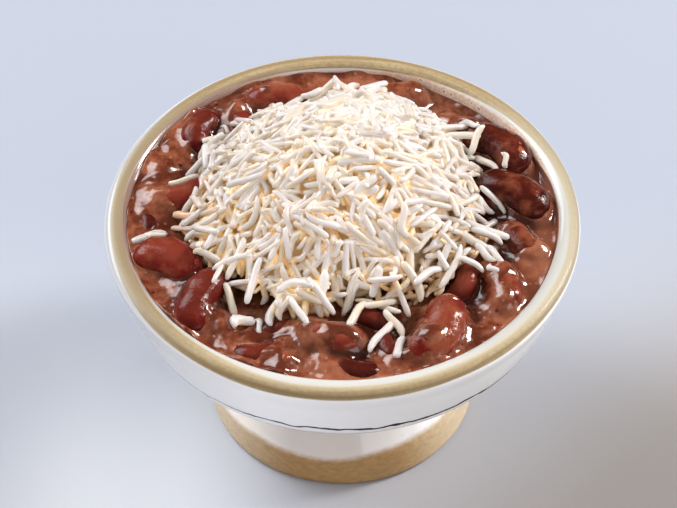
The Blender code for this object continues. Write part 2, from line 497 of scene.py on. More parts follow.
def smooth_outline(outline):
    """A centripetal curve through an outline's points, drawn finely."""
    first, last = outline[1], outline[-2]
    points = np.array([(-first[0], first[1]), *outline, (-last[0], last[1])])
    drawn = []
    for a, b, c, d in zip(points, points[1:], points[2:], points[3:]):
        legs = ((a, b), (b, c), (c, d))
        knots = np.cumsum([0.0, *(math.sqrt(math.dist(p, q)) for p, q in legs)])
        count = max(2, math.ceil(math.dist(b, c) / DRAWN_SPACING))
        t = np.linspace(knots[1], knots[2], count, endpoint=False)[:, None]

        def between(p, q, start, end):
            return p * (end - t) / (end - start) + q * (t - start) / (end - start)

        ab, bc, cd = (between(p, q, *knots[i : i + 2]) for i, (p, q) in enumerate(legs))
        abc = between(ab, bc, knots[0], knots[2])
        bcd = between(bc, cd, knots[1], knots[3])
        drawn.extend(between(abc, bcd, knots[1], knots[2]))
    drawn.append(points[-2])
    drawn = np.array(drawn)
    drawn[:, 0] = np.maximum(drawn[:, 0], 0.0)
    drawn[:, 1] = np.maximum(drawn[:, 1], 0.0)
    return drawn


def spacing_at(radius, height, inside):
    if height > LIP_HEIGHT - BELOW_LIP:
        return LIP_SPACING
    hidden = inside or radius < RECESS_RADIUS and height < RECESS_HEIGHT
    return HIDDEN_SPACING if hidden else WALL_SPACING


def thinned(drawn):
    """Fewer points: close together round the lip, and far apart where the bowl is hidden."""
    kept = [drawn[0]]
    lip = int(np.argmax(drawn[:, 1]))
    for i, point in enumerate(drawn):
        if math.dist(point, kept[-1]) >= spacing_at(*point, inside=i < lip):
            kept.append(point)
    if kept[-1][0] > 0.5 * MM:
        kept.append(drawn[-1])
    kept[-1] = drawn[-1]
    return kept


def turning_tree():
    """Turns the points of a profile about Z, with a little wobble as of a bowl thrown by hand."""
    inputs = {
        "Profile": "Object",
        "Profile Points": "Int",
        "Steps Round": "Int",
        "Wobble": "Float",
        "Glaze": "Material",
    }
    tree, graph, given = geometry_graph("Turned Bowl", inputs)
    profile = graph.wire("GeometryNodeObjectInfo", None, {"Object": given["Profile"]}, "Geometry")
    along, around = given["Profile Points"], given["Steps Round"]
    sheet = graph.wire(
        "GeometryNodeMeshGrid",
        None,
        {"Size X": 1.0, "Size Y": 1.0, "Vertices X": along, "Vertices Y": around + 1.0},
        "Mesh",
    )
    place = graph.wire("GeometryNodeInputPosition")
    across, turned, _ = graph.separate(place)
    row = graph.math("ROUND", (across + 0.5) * (along - 1.0))
    turn = (turned + 0.5) * math.tau
    point = graph.wire(
        "GeometryNodeSampleIndex",
        {"data_type": "FLOAT_VECTOR"},
        {"Geometry": profile, "Value": place, "Index": row},
    )
    radius, _, height = graph.separate(point)
    east, north = graph.math("COSINE", turn), graph.math("SINE", turn)
    stray = graph.noise(graph.combine(east, north, height * 25.0), 1.3, 1.0) - 0.5
    wide = radius + stray * given["Wobble"] * 2.0 * graph.ramp(radius, 0.0, 0.02)
    sockets = {"Geometry": sheet, "Position": graph.combine(wide * east, wide * north, height)}
    moved = graph.wire("GeometryNodeSetPosition", None, sockets)
    welded = graph.wire("GeometryNodeMergeByDistance", None, {"Geometry": moved, "Distance": WELD})
    end_tree(graph, welded, given["Glaze"])
    return tree


class BowlPlace:
    """Where a point of the bowl lies, as wires. Its angle goes round the lip's section: 0 at the
    lip's widest point, 90 degrees at its top and 180 at its inner side. The tan band starts at the
    angle outer and ends at inner, which wander by bearing."""

    def __init__(self, graph, place):
        x, y, self.z = graph.separate(place)
        self.place = place
        self.radius = graph.math("SQRT", x * x + y * y)
        east, north = x / self.radius, y / self.radius
        self.east, self.north = east, north
        up = (self.z - LIP_HEIGHT) / LIP_HALF_HEIGHT
        out = (self.radius - LIP_RADIUS) / LIP_HALF_WIDTH
        self.angle = graph.math("ARCTAN2", up, out)
        self.beside = graph.math("ABSOLUTE", east)
        self.wave = graph.noise(place, 38.0, 2.0) - 0.5
        self.lip = graph.ramp(self.z, LIP_HEIGHT - 2.2 * MM, LIP_HEIGHT - 0.6 * MM)
        twice = east * east - north * north
        skew = east * east * east
        outer = east * 2.0 - skew * 25.0 + north * 20.8 + twice * 9.0 + 36.0
        inner = east * 7.0 - skew * 22.0 + north * 34.1 + twice * -5.8 + 111.1
        front_left = graph.ramp(east * -0.82 - north * 0.57, 0.7, 1.0)
        degree = math.pi / 180
        self.outer, self.inner = outer * degree, (inner + front_left * 26.0) * degree


def tan_band(graph, at, settings):
    """The tan band on the lip: where it lies, its brush marks, and its colour, with painted shade
    on its inner half towards -X.
    """
    outer, inner = at.outer + at.wave * 0.35, at.inner + at.wave * 0.3
    starts = graph.ramp(at.angle, outer - 0.1, outer + 0.12)
    ends = graph.ramp(at.angle, inner + 0.1, inner - 0.08)
    round_lip = graph.combine(at.east * 2.0, at.north * 2.0, at.angle * 5.0)
    marks = graph.noise(round_lip, 1.6, 4.0, 0.65)
    share = (at.angle - at.outer) / (at.inner - at.outer)
    thin = graph.ramp(share, 0.5, 1.1) * graph.ramp(at.north - at.east, 0.3, -0.7)
    color = graph.paint(
        settings.band,
        (graph.ramp(marks, 0.34, 0.7), BRUSHED_TAN),
        (graph.bump_of(share + at.wave * 0.35, 0.3, 0.03, 0.2) * 0.6, THICK_TAN),
        (graph.ramp(graph.noise(at.place, 900.0, 2.0), 0.4, 0.66) * 0.35, TAN_GRAIN),
        (thin * 0.75, THIN_TAN),
        (graph.ramp(at.beside, 0.6, 1.0) * 0.6, GREY_TAN),
        # Painted shade on the band's inner half towards -X.
        (graph.ramp(at.east, -0.45, -0.95) * graph.ramp(share, 0.05, 0.6) * 0.65, PAINTED_SHADE_TAN),
        (graph.ramp(at.north, -0.5, -0.95) * 0.22, WARM_TAN),
    )
    return at.lip * starts * ends, marks, color


def white_glaze(graph, at, settings):
    """The white glaze: brighter towards +X as painted light, greyer towards -X as painted shade,
    and creamy inside the band.
    """
    cream = graph.ramp(at.z, LIP_HEIGHT - 2 * MM, LIP_HEIGHT)
    cream = cream * graph.ramp(at.angle, at.outer, at.inner)
    creamy = graph.ramp(at.north, 0.6, -0.6) * 0.6 + 0.25 + graph.ramp(at.east, 0.45, 0.95) * 0.4
    return graph.paint(
        settings.glaze,
        (graph.ramp(graph.noise(at.place, 22.0, 3.0), 0.35, 0.7), CLOUDY_WHITE),
        # Painted light towards +X, then painted shade towards -X.
        (graph.ramp(at.east, 0.0, 0.9), PAINTED_LIGHT_WHITE),
        (graph.ramp(at.east, -0.3, -1.0), PAINTED_SHADE_WHITE),
        (cream * graph.math("MINIMUM", creamy, 0.95), CREAM),
    )


def bare_foot(graph, at, settings):
    """Bare clay below the glaze's uneven edge: where it shows, its turning marks, and its colour,
    paler towards its sides as painted light streaked by the turning marks.
    """
    turning = graph.noise(graph.combine(at.east * 9.0, at.north * 9.0, at.z * 500.0), 1.9, 4.0, 0.6)
    leaning = graph.ramp(at.east, 0.0, 0.5) - graph.ramp(at.east, -0.6, -1.0)
    edge = settings.foot_band + (at.wave * 2.4 + leaning * 1.3) * MM
    foot = graph.ramp(at.z + (turning - 0.5) * 0.8 * MM, edge + 1.3 * MM, edge - 1.0 * MM)
    color = graph.paint(
        settings.foot,
        (graph.ramp(turning, 0.3, 0.72) * 0.7, TURNED_CLAY),
        # Painted light towards the sides, streaked by the turning marks.
        (graph.ramp(at.beside, 0.35, 0.9) * (0.4 + turning * 0.6), PAINTED_LIGHT_CLAY),
    )
    return foot, turning, color


def brushed_line(graph, at, settings):
    """The thin line round the wall, heavier on the +X side and a little shaky."""
    shake = (graph.noise(at.place, 140.0, 2.0) - 0.5) * (4.2 * MM)
    shake = shake + (graph.noise(at.place, 260.0, 1.0) - 0.5) * (0.5 * MM)
    weight = graph.ramp(at.east, -0.9, 0.4) * 0.6 + 0.4
    half = weight * (settings.line_width / 2)
    away = graph.math("ABSOLUTE", at.z - settings.line_height - shake)
    line = graph.ramp(away, half + 0.05 * MM, half) * graph.ramp(at.radius, 50 * MM, 55 * MM)
    return line * (weight * 0.3 + 0.7)


def tide_of_gravy(graph, at, color, gravy):
    """The wall's colour with gravy smeared on its inside: a tide line, wider at the back right and
    higher on the -X side, where painted shade darkens the inner wall and the smear.
    """
    spatter = graph.ramp(at.east * 0.62 + at.north * 0.78, 0.72, 0.97)
    # The -X side, which faces away from the main light: the tide reaches higher there and painted
    # shade darkens it.
    shade_side = graph.ramp(at.east * -0.94 + at.north * 0.34, 0.4, 0.95)
    right, front = graph.ramp(at.east, 0.7, 0.97), graph.ramp(at.north, -0.75, -1.0)
    filmed = graph.math("MAXIMUM", right * 1.3, front)
    top = gravy.level + (0.7 + spatter * 1.2 + shade_side * 2.2 + filmed * 0.9 + at.wave * 1.6) * MM
    inside = graph.ramp(at.radius, LIP_RADIUS - 1.3 * MM, LIP_RADIUS - 2.3 * MM)
    inside = inside * graph.ramp(at.z, gravy.level - 9 * MM, gravy.level - 7 * MM)
    tide = inside * graph.ramp(at.z, top + 0.35 * MM, top - 0.25 * MM)
    inner_slope = graph.math("MAXIMUM", inside, graph.ramp(at.angle, 1.95, 2.3) * at.lip)
    fleck = graph.noise(at.place, 900.0, 2.0)
    wet = at.z + (spatter * 1.9 - filmed) * MM
    smear = graph.paint(
        SMEAR,
        (graph.ramp(fleck, 0.42, 0.62), THIN_SMEAR),
        (shade_side, PAINTED_SHADE_SMEAR),
        (graph.ramp(fleck, 0.66, 0.72), gravy.color),
        (graph.ramp(wet, gravy.level + 1.1 * MM, gravy.level + 0.5 * MM), WET_SMEAR),
    )
    return graph.paint(color, (inner_slope * shade_side * 0.9, PAINTED_SHADE_WALL), (tide * 0.9, smear))


def glaze_material(settings, gravy):
    material, graph, place = surface_graph("glazed_stoneware")
    at = BowlPlace(graph, place)
    band, marks, tan = tan_band(graph, at, settings)
    foot, turning, clay = bare_foot(graph, at, settings)
    line = brushed_line(graph, at, settings)
    white_foot = graph.ramp(at.z, 34 * MM, 30 * MM)
    middle = 1.0 - graph.ramp(at.beside, 0.35, 0.8)
    color = graph.paint(
        white_glaze(graph, at, settings),
        (band, tan),
        # Painted shade on the white foot's front and back, then painted light on its -X side.
        (white_foot * middle * 0.62, PAINTED_SHADE_FOOT),
        (white_foot * graph.ramp(at.east, -0.35, -0.8) * 0.9, PAINTED_LIGHT_FOOT),
        (foot, clay),
        (line, settings.line),
    )
    color = tide_of_gravy(graph, at, color, gravy)

    # A few pin-holes and iron specks.
    distance, pick = graph.scatter(place, 170.0)
    speck = graph.ramp(distance, 0.075, 0.045) * graph.ramp(pick, 0.9, 0.93)
    speck = speck * (band * 0.8 + foot * 0.8 + 0.1)

    ripple = graph.noise(place, 70.0, 2.0) * 0.6 + graph.noise(place, 420.0, 2.0) * 0.06
    relief = ripple + band * marks * 0.35 + foot * turning * 0.5 - speck * 0.8
    finish_surface(
        graph,
        {
            "Base Color": graph.mix(speck, color, IRON),
            "Roughness": 0.14 + band * (marks * 0.25 + 0.26) + foot * 0.28 + line * 0.7,
            "Normal": graph.bump(relief, 0.16 * MM),
            "Coat Weight": 0.5 - band * 0.42 - foot * 0.45 - line * 0.4,
            "Coat Roughness": 0.06,
            "IOR": 1.5,
        },
    )
    return material


class DISH_OT_turn_bowl(bpy.types.Operator):
    """Turn the footed bowl from its section and glaze it"""

    bl_idname = "dish.turn_bowl"
    bl_label = "Turn the bowl"

    def execute(self, context):
        settings = context.scene.dish
        outline = thinned(smooth_outline(bowl_section()))
        profile = bpy.data.meshes.new("bowl_profile")
        profile.from_pydata([(radius, 0.0, height) for radius, height in outline], [], [])
        guide = new_object("bowl_profile", profile)
        bowl = new_object("glazed_bowl", bpy.data.meshes.new("glazed_bowl"))
        values = {
            "Profile": guide,
            "Profile Points": len(outline),
            "Steps Round": BOWL_STEPS,
            "Wobble": settings.bowl.wobble,
            "Glaze": glaze_material(settings.bowl, settings.gravy),
        }
        grow(bowl, turning_tree(), values)
        bpy.data.objects.remove(guide, do_unlink=True)
        present(bowl, "glazed_stoneware", "bowl")
        return {"FINISHED"}


# Beans ------------------------------------------------------------------------------------------

# For each bean: how light its skin is, from 0 to about 1.5, which also sets how much painted light
# its crown gets, how much gravy covers it and how high gravy banks up against its left side, both
# from 0 to 1, and its share of the usual width.
BEAN_LOOKS = {
    "bean_01": (1.0, 0.55, 0.5, 1.0),
    "bean_02": (0.7, 0.15, 1.0, 1.0),
    "bean_03": (0.5, 0.35, 0.7, 1.0),
    "bean_04": (0.2, 0.08, 0.8, 1.0),
    "bean_05": (1.1, 0.35, 1.0, 1.0),
    "bean_06": (0.3, 0.2, 0.3, 1.0),
    "bean_07": (1.0, 0.3, 0.2, 1.22),
    "bean_08": (0.5, 0.0, 0.5, 0.98),
    "bean_09": (0.6, 0.4, 0.9, 1.0),
    "bean_10": (1.0, 0.1, 0.4, 1.0),
    "bean_11": (0.5, 0.1, 0.4, 1.0),
    "bean_12": (1.4, 0.5, 1.0, 1.0),
    "bean_13": (0.9, 0.66, 0.9, 1.0),
    "bean_14": (0.3, 0.05, 0.3, 1.1),
    "bean_15": (0.7, 0.15, 0.3, 1.0),
    "bean_16": (0.55, 0.0, 0.2, 1.0),
    "bean_17": (0.8, 0.56, 0.4, 1.05),
    "bean_18": (1.4, 0.3, 0.2, 1.0),
    "bean_19": (1.3, 0.75, 0.3, 1.0),
    "bean_20": (0.6, 0.7, 0.3, 1.0),
    "bean_21": (0.25, 0.58, 0.3, 1.12),
    "bean_22": (0.1, 0.2, 0.2, 1.06),
    "bean_23": (0.2, 0.38, 0.2, 1.08),
    "bean_24": (0.6, 0.7, 0.5, 1.0),
    "bean_25": (0.6, 0.95, 0.5, 1.0),
}
BEAN_SEGMENTS = 36
BEAN_RINGS = 26
RIM_STEPS = 48
LUMP_SIZE, LUMP_DEPTH = 5.5 * MM, 0.48
KNOB_SIZE, KNOB_DEPTH = 2.4 * MM, 0.18
FOLD_SIZE, FOLD_STRETCH = 0.75 * MM, [1.0, 0.25, 0.25]
SLACK_SIZE = 4.0 * MM
SHIFT_STEP = 3.1
WIDTH_SHARE = 0.54
BEND_SHARE = 0.07
DENT_SHARE = 0.09
DENT_LENGTH = 0.4
BLUNTNESS = 2.6

# Colours of a bean's skin: where it is mottled, painted light on its crown, and painted shade low
# down by the gravy.
SPOTTED_SKIN = (0.25, 0.042, 0.029)
PAINTED_LIGHT_SKIN = (0.27, 0.085, 0.052)
PAINTED_SHADE_SKIN = (0.045, 0.008, 0.006)


def kidney(along, across, up, half):
    """A point of a bean from one of the unit ball: blunt ends, bent towards +Y and dented there."""
    ring = np.maximum(np.hypot(across, up), 0.01)
    fullness = (1.0 - np.minimum(np.abs(along), 1.0) ** BLUNTNESS) ** (1 / BLUNTNESS) / ring
    dent = DENT_SHARE * 2 * half[1] * np.exp(-((along / DENT_LENGTH) ** 2))
    bend = BEND_SHARE * 2 * half[0] * (along * along - 1 / 3)
    side = half[1] * across * fullness - dent * np.maximum(across, 0.0) + bend
    return np.stack([half[0] * along, side, half[2] * up * fullness], -1)


def bean_frame(node):
    """Where a bean lies: its middle, its axes as rows (long, dented side, up), half its sizes."""
    points = np.array([vert.co for vert in NODES[node].data.vertices])
    points = np.unique(np.round(points, 7), axis=0)
    middle = points.mean(axis=0)
    axes = np.linalg.svd(points - middle)[2]
    up = axes[2] * np.sign(axes[2][2])
    long = axes[0]
    side = np.cross(up, long)
    local = (points - middle) @ np.array([long, side, up]).T
    if np.cov(local[:, 0] ** 2, local[:, 1])[0, 1] < 0:
        long, side = -long, -side
    axes = np.array([long, side, up])
    local = (points - middle) @ axes.T
    size = local.max(axis=0) - local.min(axis=0)
    half = np.array([size[0], WIDTH_SHARE * size[0] * BEAN_LOOKS[node][3], size[2]]) / 2
    turn = np.linspace(0.0, math.tau, RIM_STEPS)
    rim = kidney(np.cos(turn), np.sin(turn), 0.0 * turn, half)
    off_middle = (local.max(axis=0) + local.min(axis=0) - rim.max(axis=0) - rim.min(axis=0)) / 2
    return middle + off_middle @ axes, axes, half


def bean_mesh(node, index, wrinkle):
    """One bean with soft lumps and a slack skin that folds across the dent."""
    middle, axes, half = bean_frame(node)
    ball = bmesh.new()
    bmesh.ops.create_uvsphere(
        ball,
        u_segments=BEAN_SEGMENTS,
        v_segments=BEAN_RINGS,
        radius=1.0,
        matrix=Matrix.Rotation(math.pi / 2, 4, "Y"),
    )
    unit = np.array([vert.co for vert in ball.verts])
    along, across, up = unit.T
    local = kidney(along, across, up, half)
    shift = SHIFT_STEP * index
    lumps = noise_at(local, LUMP_SIZE, shift) * LUMP_DEPTH * MM
    lumps = lumps + noise_at(local, KNOB_SIZE, shift + 5) * KNOB_DEPTH * MM
    folds = noise_at(local * FOLD_STRETCH, FOLD_SIZE, shift)
    slack = noise_at(local, SLACK_SIZE, shift + 9.0) * 1.4 + 0.35 + across * 0.3
    slack = np.clip(slack, 0.0, 1.0)
    out = unit / np.linalg.norm(unit, axis=1)[:, None]
    local = local + out * (lumps - wrinkle * slack * np.abs(folds))[:, None]
    for vert, point in zip(ball.verts, local @ axes + middle):
        vert.co = point
    if ball.calc_volume(signed=True) < 0:
        bmesh.ops.reverse_faces(ball, faces=ball.faces)
    mesh = bpy.data.meshes.new("kidney_" + node)
    ball.to_mesh(mesh)
    ball.free()
    mesh.shade_smooth()
    # How far each point faces up, for the painted light on the bean's crown.
    store(mesh, "crown", "FLOAT", (out @ axes)[:, 2])
    for name, value in zip(("shade", "coat"), BEAN_LOOKS[node]):
        store(mesh, name, "FLOAT", np.full(len(unit), value))
    return mesh


def bean_material(settings, gravy):
    material, graph, place = surface_graph("bean_skin")
    shade, coat, crown = (graph.attribute(name) for name in ("shade", "coat", "crown"))
    mottle = graph.noise(place, 420.0, 3.0)
    patch = graph.noise(place, 130.0, 2.0) - 0.5
    # Painted light on the upward-facing crown, and painted shade low down by the gravy.
    lit = graph.ramp(crown + patch * 0.9, 0.35, 1.05) * (shade * 0.38 + 0.05)
    low = graph.ramp(graph.separate(place)[2], gravy.level + 2.6 * MM, gravy.level + 0.2 * MM)
    film = graph.ramp(graph.noise(place, 165.0, 3.0, 0.6) + coat * 0.35, 0.56, 0.86)
    color = graph.paint(
        settings.dark_skin,
        (graph.ramp(shade + patch * 0.7, 0.0, 1.0), settings.skin),
        (graph.ramp(mottle, 0.52, 0.72) * 0.3, SPOTTED_SKIN),
        # Painted light on the crown, then painted shade low down.
        (lit, PAINTED_LIGHT_SKIN),
        (low * 0.75, PAINTED_SHADE_SKIN),
        (film * 0.7, gravy.color),
    )
    relief = graph.noise(place, 620.0, 3.0) * 0.8 + mottle * 0.5 + film * 0.35
    relief = relief + graph.noise(place, 1700.0, 2.0) * 0.35
    finish_surface(
        graph,
        {
            "Base Color": color,
            "Roughness": graph.ramp(mottle, 0.3, 0.7) * 0.1 + 0.13 - shade * 0.02,
            "Normal": graph.bump(relief, 0.23 * MM),
            "Coat Weight": 0.12 + film * 0.15,
            "Coat Roughness": 0.13,
            "Specular IOR Level": 0.36,
            "IOR": 1.45,
            "Subsurface Weight": 0.08,
            "Subsurface Radius": (1.0, 0.25, 0.15),
            "Subsurface Scale": 0.8 * MM,
        },
    )
    return material


class DISH_OT_lay_beans(bpy.types.Operator):
    """Make each kidney bean where the part has one"""

    bl_idname = "dish.lay_beans"
    bl_label = "Lay the beans"

    def execute(self, context):
        settings = context.scene.dish
        material = bean_material(settings.beans, settings.gravy)
        for index, node in enumerate(BEAN_NODES):
            mesh = bean_mesh(node, index, settings.beans.wrinkle)
            bean = new_object(mesh.name, mesh, material)
            present(bean, "bean_skin", node)
        return {"FINISHED"}


# Height maps ------------------------------------------------------------------------------------

CELL = 0.4 * MM
MAP_HALF = 60.0 * MM
AXIS = np.arange(-MAP_HALF, MAP_HALF + CELL / 2, CELL)
FAR_BELOW = -1.0
SKIRT_SLOPE = 1.6
SKIRT_MARGIN = 8.0 * MM
SKY = 0.3
WHOLE_MAP = (slice(None), slice(None))


def cells(window=WHOLE_MAP):
    """The middle of each cell of a map or of a window of it, x by row and y by column."""
    return np.meshgrid(AXIS[window[0]], AXIS[window[1]], indexing="ij")


def read_map(heights, x, y):
    """Heights between the cells of a map."""
    last = len(AXIS) - 1.001
    across = np.clip((np.asarray(x) + MAP_HALF) / CELL, 0, last)
    up = np.clip((np.asarray(y) + MAP_HALF) / CELL, 0, last)
    i, j = across.astype(int), up.astype(int)
    s, t = across - i, up - j
    low = heights[i, j] * (1 - s) + heights[i + 1, j] * s
    high = heights[i, j + 1] * (1 - s) + heights[i + 1, j + 1] * s
    return low * (1 - t) + high * t


def window_of(low, high, margin):
    """The rows and columns of a map that a box covers, with a margin."""
    spans = []
    for axis in (0, 1):
        first = int(np.searchsorted(AXIS, low[axis] - margin))
        last = int(np.searchsorted(AXIS, high[axis] + margin))
        spans.append(slice(first, last))
    return tuple(spans)


def top_of(mesh, window):
    """The mesh's top over each cell of a window, or FAR_BELOW beside it."""
    points, faces = [vert.co for vert in mesh.vertices], [face.vertices for face in mesh.polygons]
    tree = BVHTree.FromPolygons(points, faces)
    down = Vector((0.0, 0.0, -1.0))
    rows, columns = AXIS[window[0]], AXIS[window[1]]
    heights = np.full((len(rows), len(columns)), FAR_BELOW)
    for i, x in enumerate(rows):
        for j, y in enumerate(columns):
            hit = tree.ray_cast(Vector((x, y, SKY)), down)[0]
            if hit:
                heights[i, j] = hit.z
    return heights


def skirted(heights, window, slope):
    """The same heights with a steep skirt round them, so that what they meet can blend."""
    x, y = cells(window)
    inside = heights > FAR_BELOW
    around = [np.roll(inside, step, axis) for step in (1, -1) for axis in (0, 1)]
    edge = inside & ~np.all(around, axis=0)
    away = np.hypot(x[~inside][:, None] - x[edge], y[~inside][:, None] - y[edge])
    filled = heights.copy()
    filled[~inside] = (heights[edge] - slope * away).max(axis=1)
    return filled


def bean_maps():
    """For each bean, its window of the map, its top there, and the top with a skirt."""
    maps = {}
    for node in BEAN_NODES:
        window = window_of(*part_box(node), margin=SKIRT_MARGIN)
        top = top_of(bpy.data.objects["kidney_" + node].data, window)
        maps[node] = (window, top, skirted(top, window, SKIRT_SLOPE))
    return maps


# Gravy ------------------------------------------------------------------------------------------

# How far gravy banks up beside a bean and how high, how deep it sinks under the heap and at the
# back right, how far it climbs the wall, how thick it lies on a coated bean, and how far it stays
# below a bare one's skin.
BANK_REACH = 6.2 * MM
BANK_MM = 2.9
MIDDLE_SINK = 1.7 * MM
BACK_SINK_MM = 2.2
CLIMB_REACH = 0.9 * MM
FILM_MM = 0.4
BARE_MM = 1.2

# How wide and deep a hollow counts for the painted shade in it, and the gravy's own points.
HOLLOW_REACH = 6
HOLLOW_DEPTH = 1.5 * MM
GRAVY_INNER = 26.0 * MM
GRAVY_RINGS = 62
GRAVY_STEPS = 720
WALL_GAP = 0.3 * MM

# Colours of bits of bean, of bits of skin, and of the painted shade in the gravy's hollows.
PULP = (0.42, 0.20, 0.12)
HUSK = (0.07, 0.012, 0.008)
PAINTED_SHADE_GRAVY = (0.04, 0.007, 0.004)


def wall_radius(height):
    """The inner radius of the bowl at a height."""
    outline = np.array(bowl_section())
    lip = int(np.argmax(outline[:, 1]))
    inner = outline[: lip + 1]
    return float(np.interp(height, inner[:, 1], inner[:, 0]))


def gravy_map(settings, beans):
    """The gravy's surface: swelling, creeping up the wall and the beans, and over some of them."""
    x, y = cells()
    out = np.hypot(x, y)
    swell = noise_over(x, y, 9.0 * MM, 4.0) + 0.45 * noise_over(x, y, 3.6 * MM, 8.0)
    pulp = noise_over(x, y, 1.5 * MM, 2.0) * (0.05 + 0.14 * ease(-y, 22 * MM, 40 * MM))
    heights = settings.level + (swell * settings.swell + pulp * MM)
    heights -= MIDDLE_SINK * (1.0 - ease(out, 40 * MM, 53 * MM))
    back_right = ease((x * 0.75 + y * 0.66) / np.maximum(out, MM), 0.72, 0.97)
    heights -= back_right * ease(out, 42 * MM, 54 * MM) * BACK_SINK_MM * MM
    climb = np.exp(-np.maximum(wall_radius(settings.level) - out, 0.0) / CLIMB_REACH)
    heights += climb * (1.0 + 0.8 * noise_over(x, y, 6.0 * MM, 6.0)) * MM
    patchy = noise_over(x, y, 5.0 * MM, 12.0)
    soft = settings.wetting
    for node, (window, _, skirt) in beans.items():
        _, coat, bank, _ = BEAN_LOOKS[node]
        low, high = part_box(node)
        left = ease(low.x + 0.55 * (high.x - low.x) - x[window], -2 * MM, 4 * MM)
        away = np.maximum(settings.level + 1.5 * MM - skirt, 0.0) / SKIRT_SLOPE
        near = np.maximum(1.0 - away / BANK_REACH, 0.0)
        ragged = 0.9 + 0.35 * patchy[window]
        heights[window] += bank * left * ragged * BANK_MM * MM * near
        cover = ease(coat + patchy[window] * 0.35, 0.35, 0.75)
        over = skirt - (BARE_MM - (BARE_MM + FILM_MM) * cover) * MM
        heights[window] = soft * np.logaddexp(heights[window] / soft, over / soft)
    return heights


def hollow_map(heights, beans):
    """How far each place lies below what is round it, from 0 to 1, for the painted shade in the
    gravy's hollows.
    """
    surface = heights.copy()
    for window, top, _ in beans.values():
        surface[window] = np.maximum(surface[window], top)
    around = surface
    for axis in (0, 1, 0, 1):
        steps = range(-HOLLOW_REACH, HOLLOW_REACH + 1)
        around = np.mean([np.roll(around, step, axis) for step in steps], axis=0)
    at_wall = ease(np.hypot(*cells()), 49 * MM, 56 * MM)
    return np.clip((around - surface) / HOLLOW_DEPTH, 0.0, 1.0) * (1.0 - 0.8 * at_wall)


def gravy_mesh(heights, settings):
    """The gravy as a closed solid: its surface ring by ring, then down the inside of the bowl."""
    turn = np.linspace(0.0, math.tau, GRAVY_STEPS, endpoint=False)
    edge = wall_radius(settings.level) + 0.2 * MM
    radii = [GRAVY_INNER, *np.linspace(GRAVY_INNER + 6 * MM, edge, GRAVY_RINGS)]
    rings = []
    for radius in radii:
        x, y = radius * np.cos(turn), radius * np.sin(turn)
        rings.append(np.stack([x, y, read_map(heights, x, y)], -1))
    outline = [point for point in bowl_section() if point[1] < settings.level - 1.0 * MM]
    floor = min(point[1] for point in outline[:3])
    lip = next(i for i, point in enumerate(outline) if point[0] > LIP_RADIUS - BELOW_LIP)
    for radius, height in reversed(outline[1 : lip + 1]):
        inner = radius - WALL_GAP
        ring = [inner * np.cos(turn), inner * np.sin(turn), np.full(turn.shape, height)]
        rings.append(np.stack(ring, -1))
    top, bottom = (0.0, 0.0, settings.level), (0.0, 0.0, floor + WALL_GAP)
    return closed_rings("bean_gravy", rings, top, bottom)


def gravy_material(settings):
    material, graph, place = surface_graph("bean_gravy")
    broad = graph.noise(place, 95.0, 3.0)
    fine = graph.noise(place, 420.0, 4.0, 0.6)
    distance, pick = graph.scatter(place, 520.0)
    near = graph.ramp(distance, 0.34, 0.16)
    hollow = graph.ramp(graph.attribute("hollow") + (fine - 0.5) * 0.25, 0.05, 0.6)
    color = graph.paint(
        settings.deep_color,
        (graph.ramp(broad + (fine - 0.5) * 0.5, 0.32, 0.66), settings.color),
        (graph.ramp(broad * 0.5 + fine * 0.5, 0.46, 0.70) * 0.55, settings.milky_color),
        (near * graph.ramp(pick, 0.8, 0.85) * 0.6, PULP),
        (near * graph.ramp(pick, 0.14, 0.1) * 0.75, HUSK),
        # Paler towards +X.
        (graph.ramp(graph.separate(place)[0], 43 * MM, 55 * MM) * 0.35, settings.milky_color),
        # Painted shade in the hollows.
        (hollow * 0.84, PAINTED_SHADE_GRAVY),
    )
    grit = graph.noise(place, 1300.0, 2.0)
    relief = fine * 0.5 + grit * 0.16 + near * graph.ramp(pick, 0.7, 0.8) * 0.25
    finish_surface(
        graph,
        {
            "Base Color": color,
            "Roughness": fine * 0.12 + 0.10,
            "Normal": graph.bump(relief, 0.14 * MM),
            "Coat Weight": 0.5,
            "Coat Roughness": 0.06,
            "Specular IOR Level": 1.0,
            "IOR": 1.48,
            "Subsurface Weight": 0.1,
            "Subsurface Radius": (1.0, 0.3, 0.15),
            "Subsurface Scale": 1.0 * MM,
        },
    )
    return material


class DISH_OT_pour_gravy(bpy.types.Operator):
    """Pour the gravy round the beans"""

    bl_idname = "dish.pour_gravy"
    bl_label = "Pour the gravy"

    def execute(self, context):
        settings = context.scene.dish.gravy
        beans = bean_maps()
        heights = gravy_map(settings, beans)
        mesh = gravy_mesh(heights, settings)
        places = np.array([vert.co for vert in mesh.vertices])
        hollow = read_map(hollow_map(heights, beans), places[:, 0], places[:, 1])
        store(mesh, "hollow", "FLOAT", hollow)
        gravy = new_object("bean_gravy", mesh, gravy_material(settings))
        present(gravy, "bean_gravy", "stew")
        return {"FINISHED"}


# Rice -------------------------------------------------------------------------------------------

# One grain: its points, how it twists, waves and bows, and how round its section and ends are.
GRAIN_SIDES = 6
GRAIN_RINGS = 7
GRAIN_TWIST = 0.4
WAVE_TURN = 3.0
BOW_MIDDLE, BOW_END = 0.35, 0.65
FLATNESS = 0.84
ROUNDNESS = 0.82
GRAIN_TAPER, GRAIN_BLUNTNESS = 3, 2.3

# How a grain comes to rest: where its underside is felt, as shares of its length and width, how
# steeply it may lie, and how far it settles in between its neighbours.
PROBES = np.linspace(-0.46, 0.46, 9)
PROBE_SIDES = (-0.32, 0.0, 0.32)
STEEPEST = math.tan(math.radians(52.0))
CROWDING = 0.95 * MM

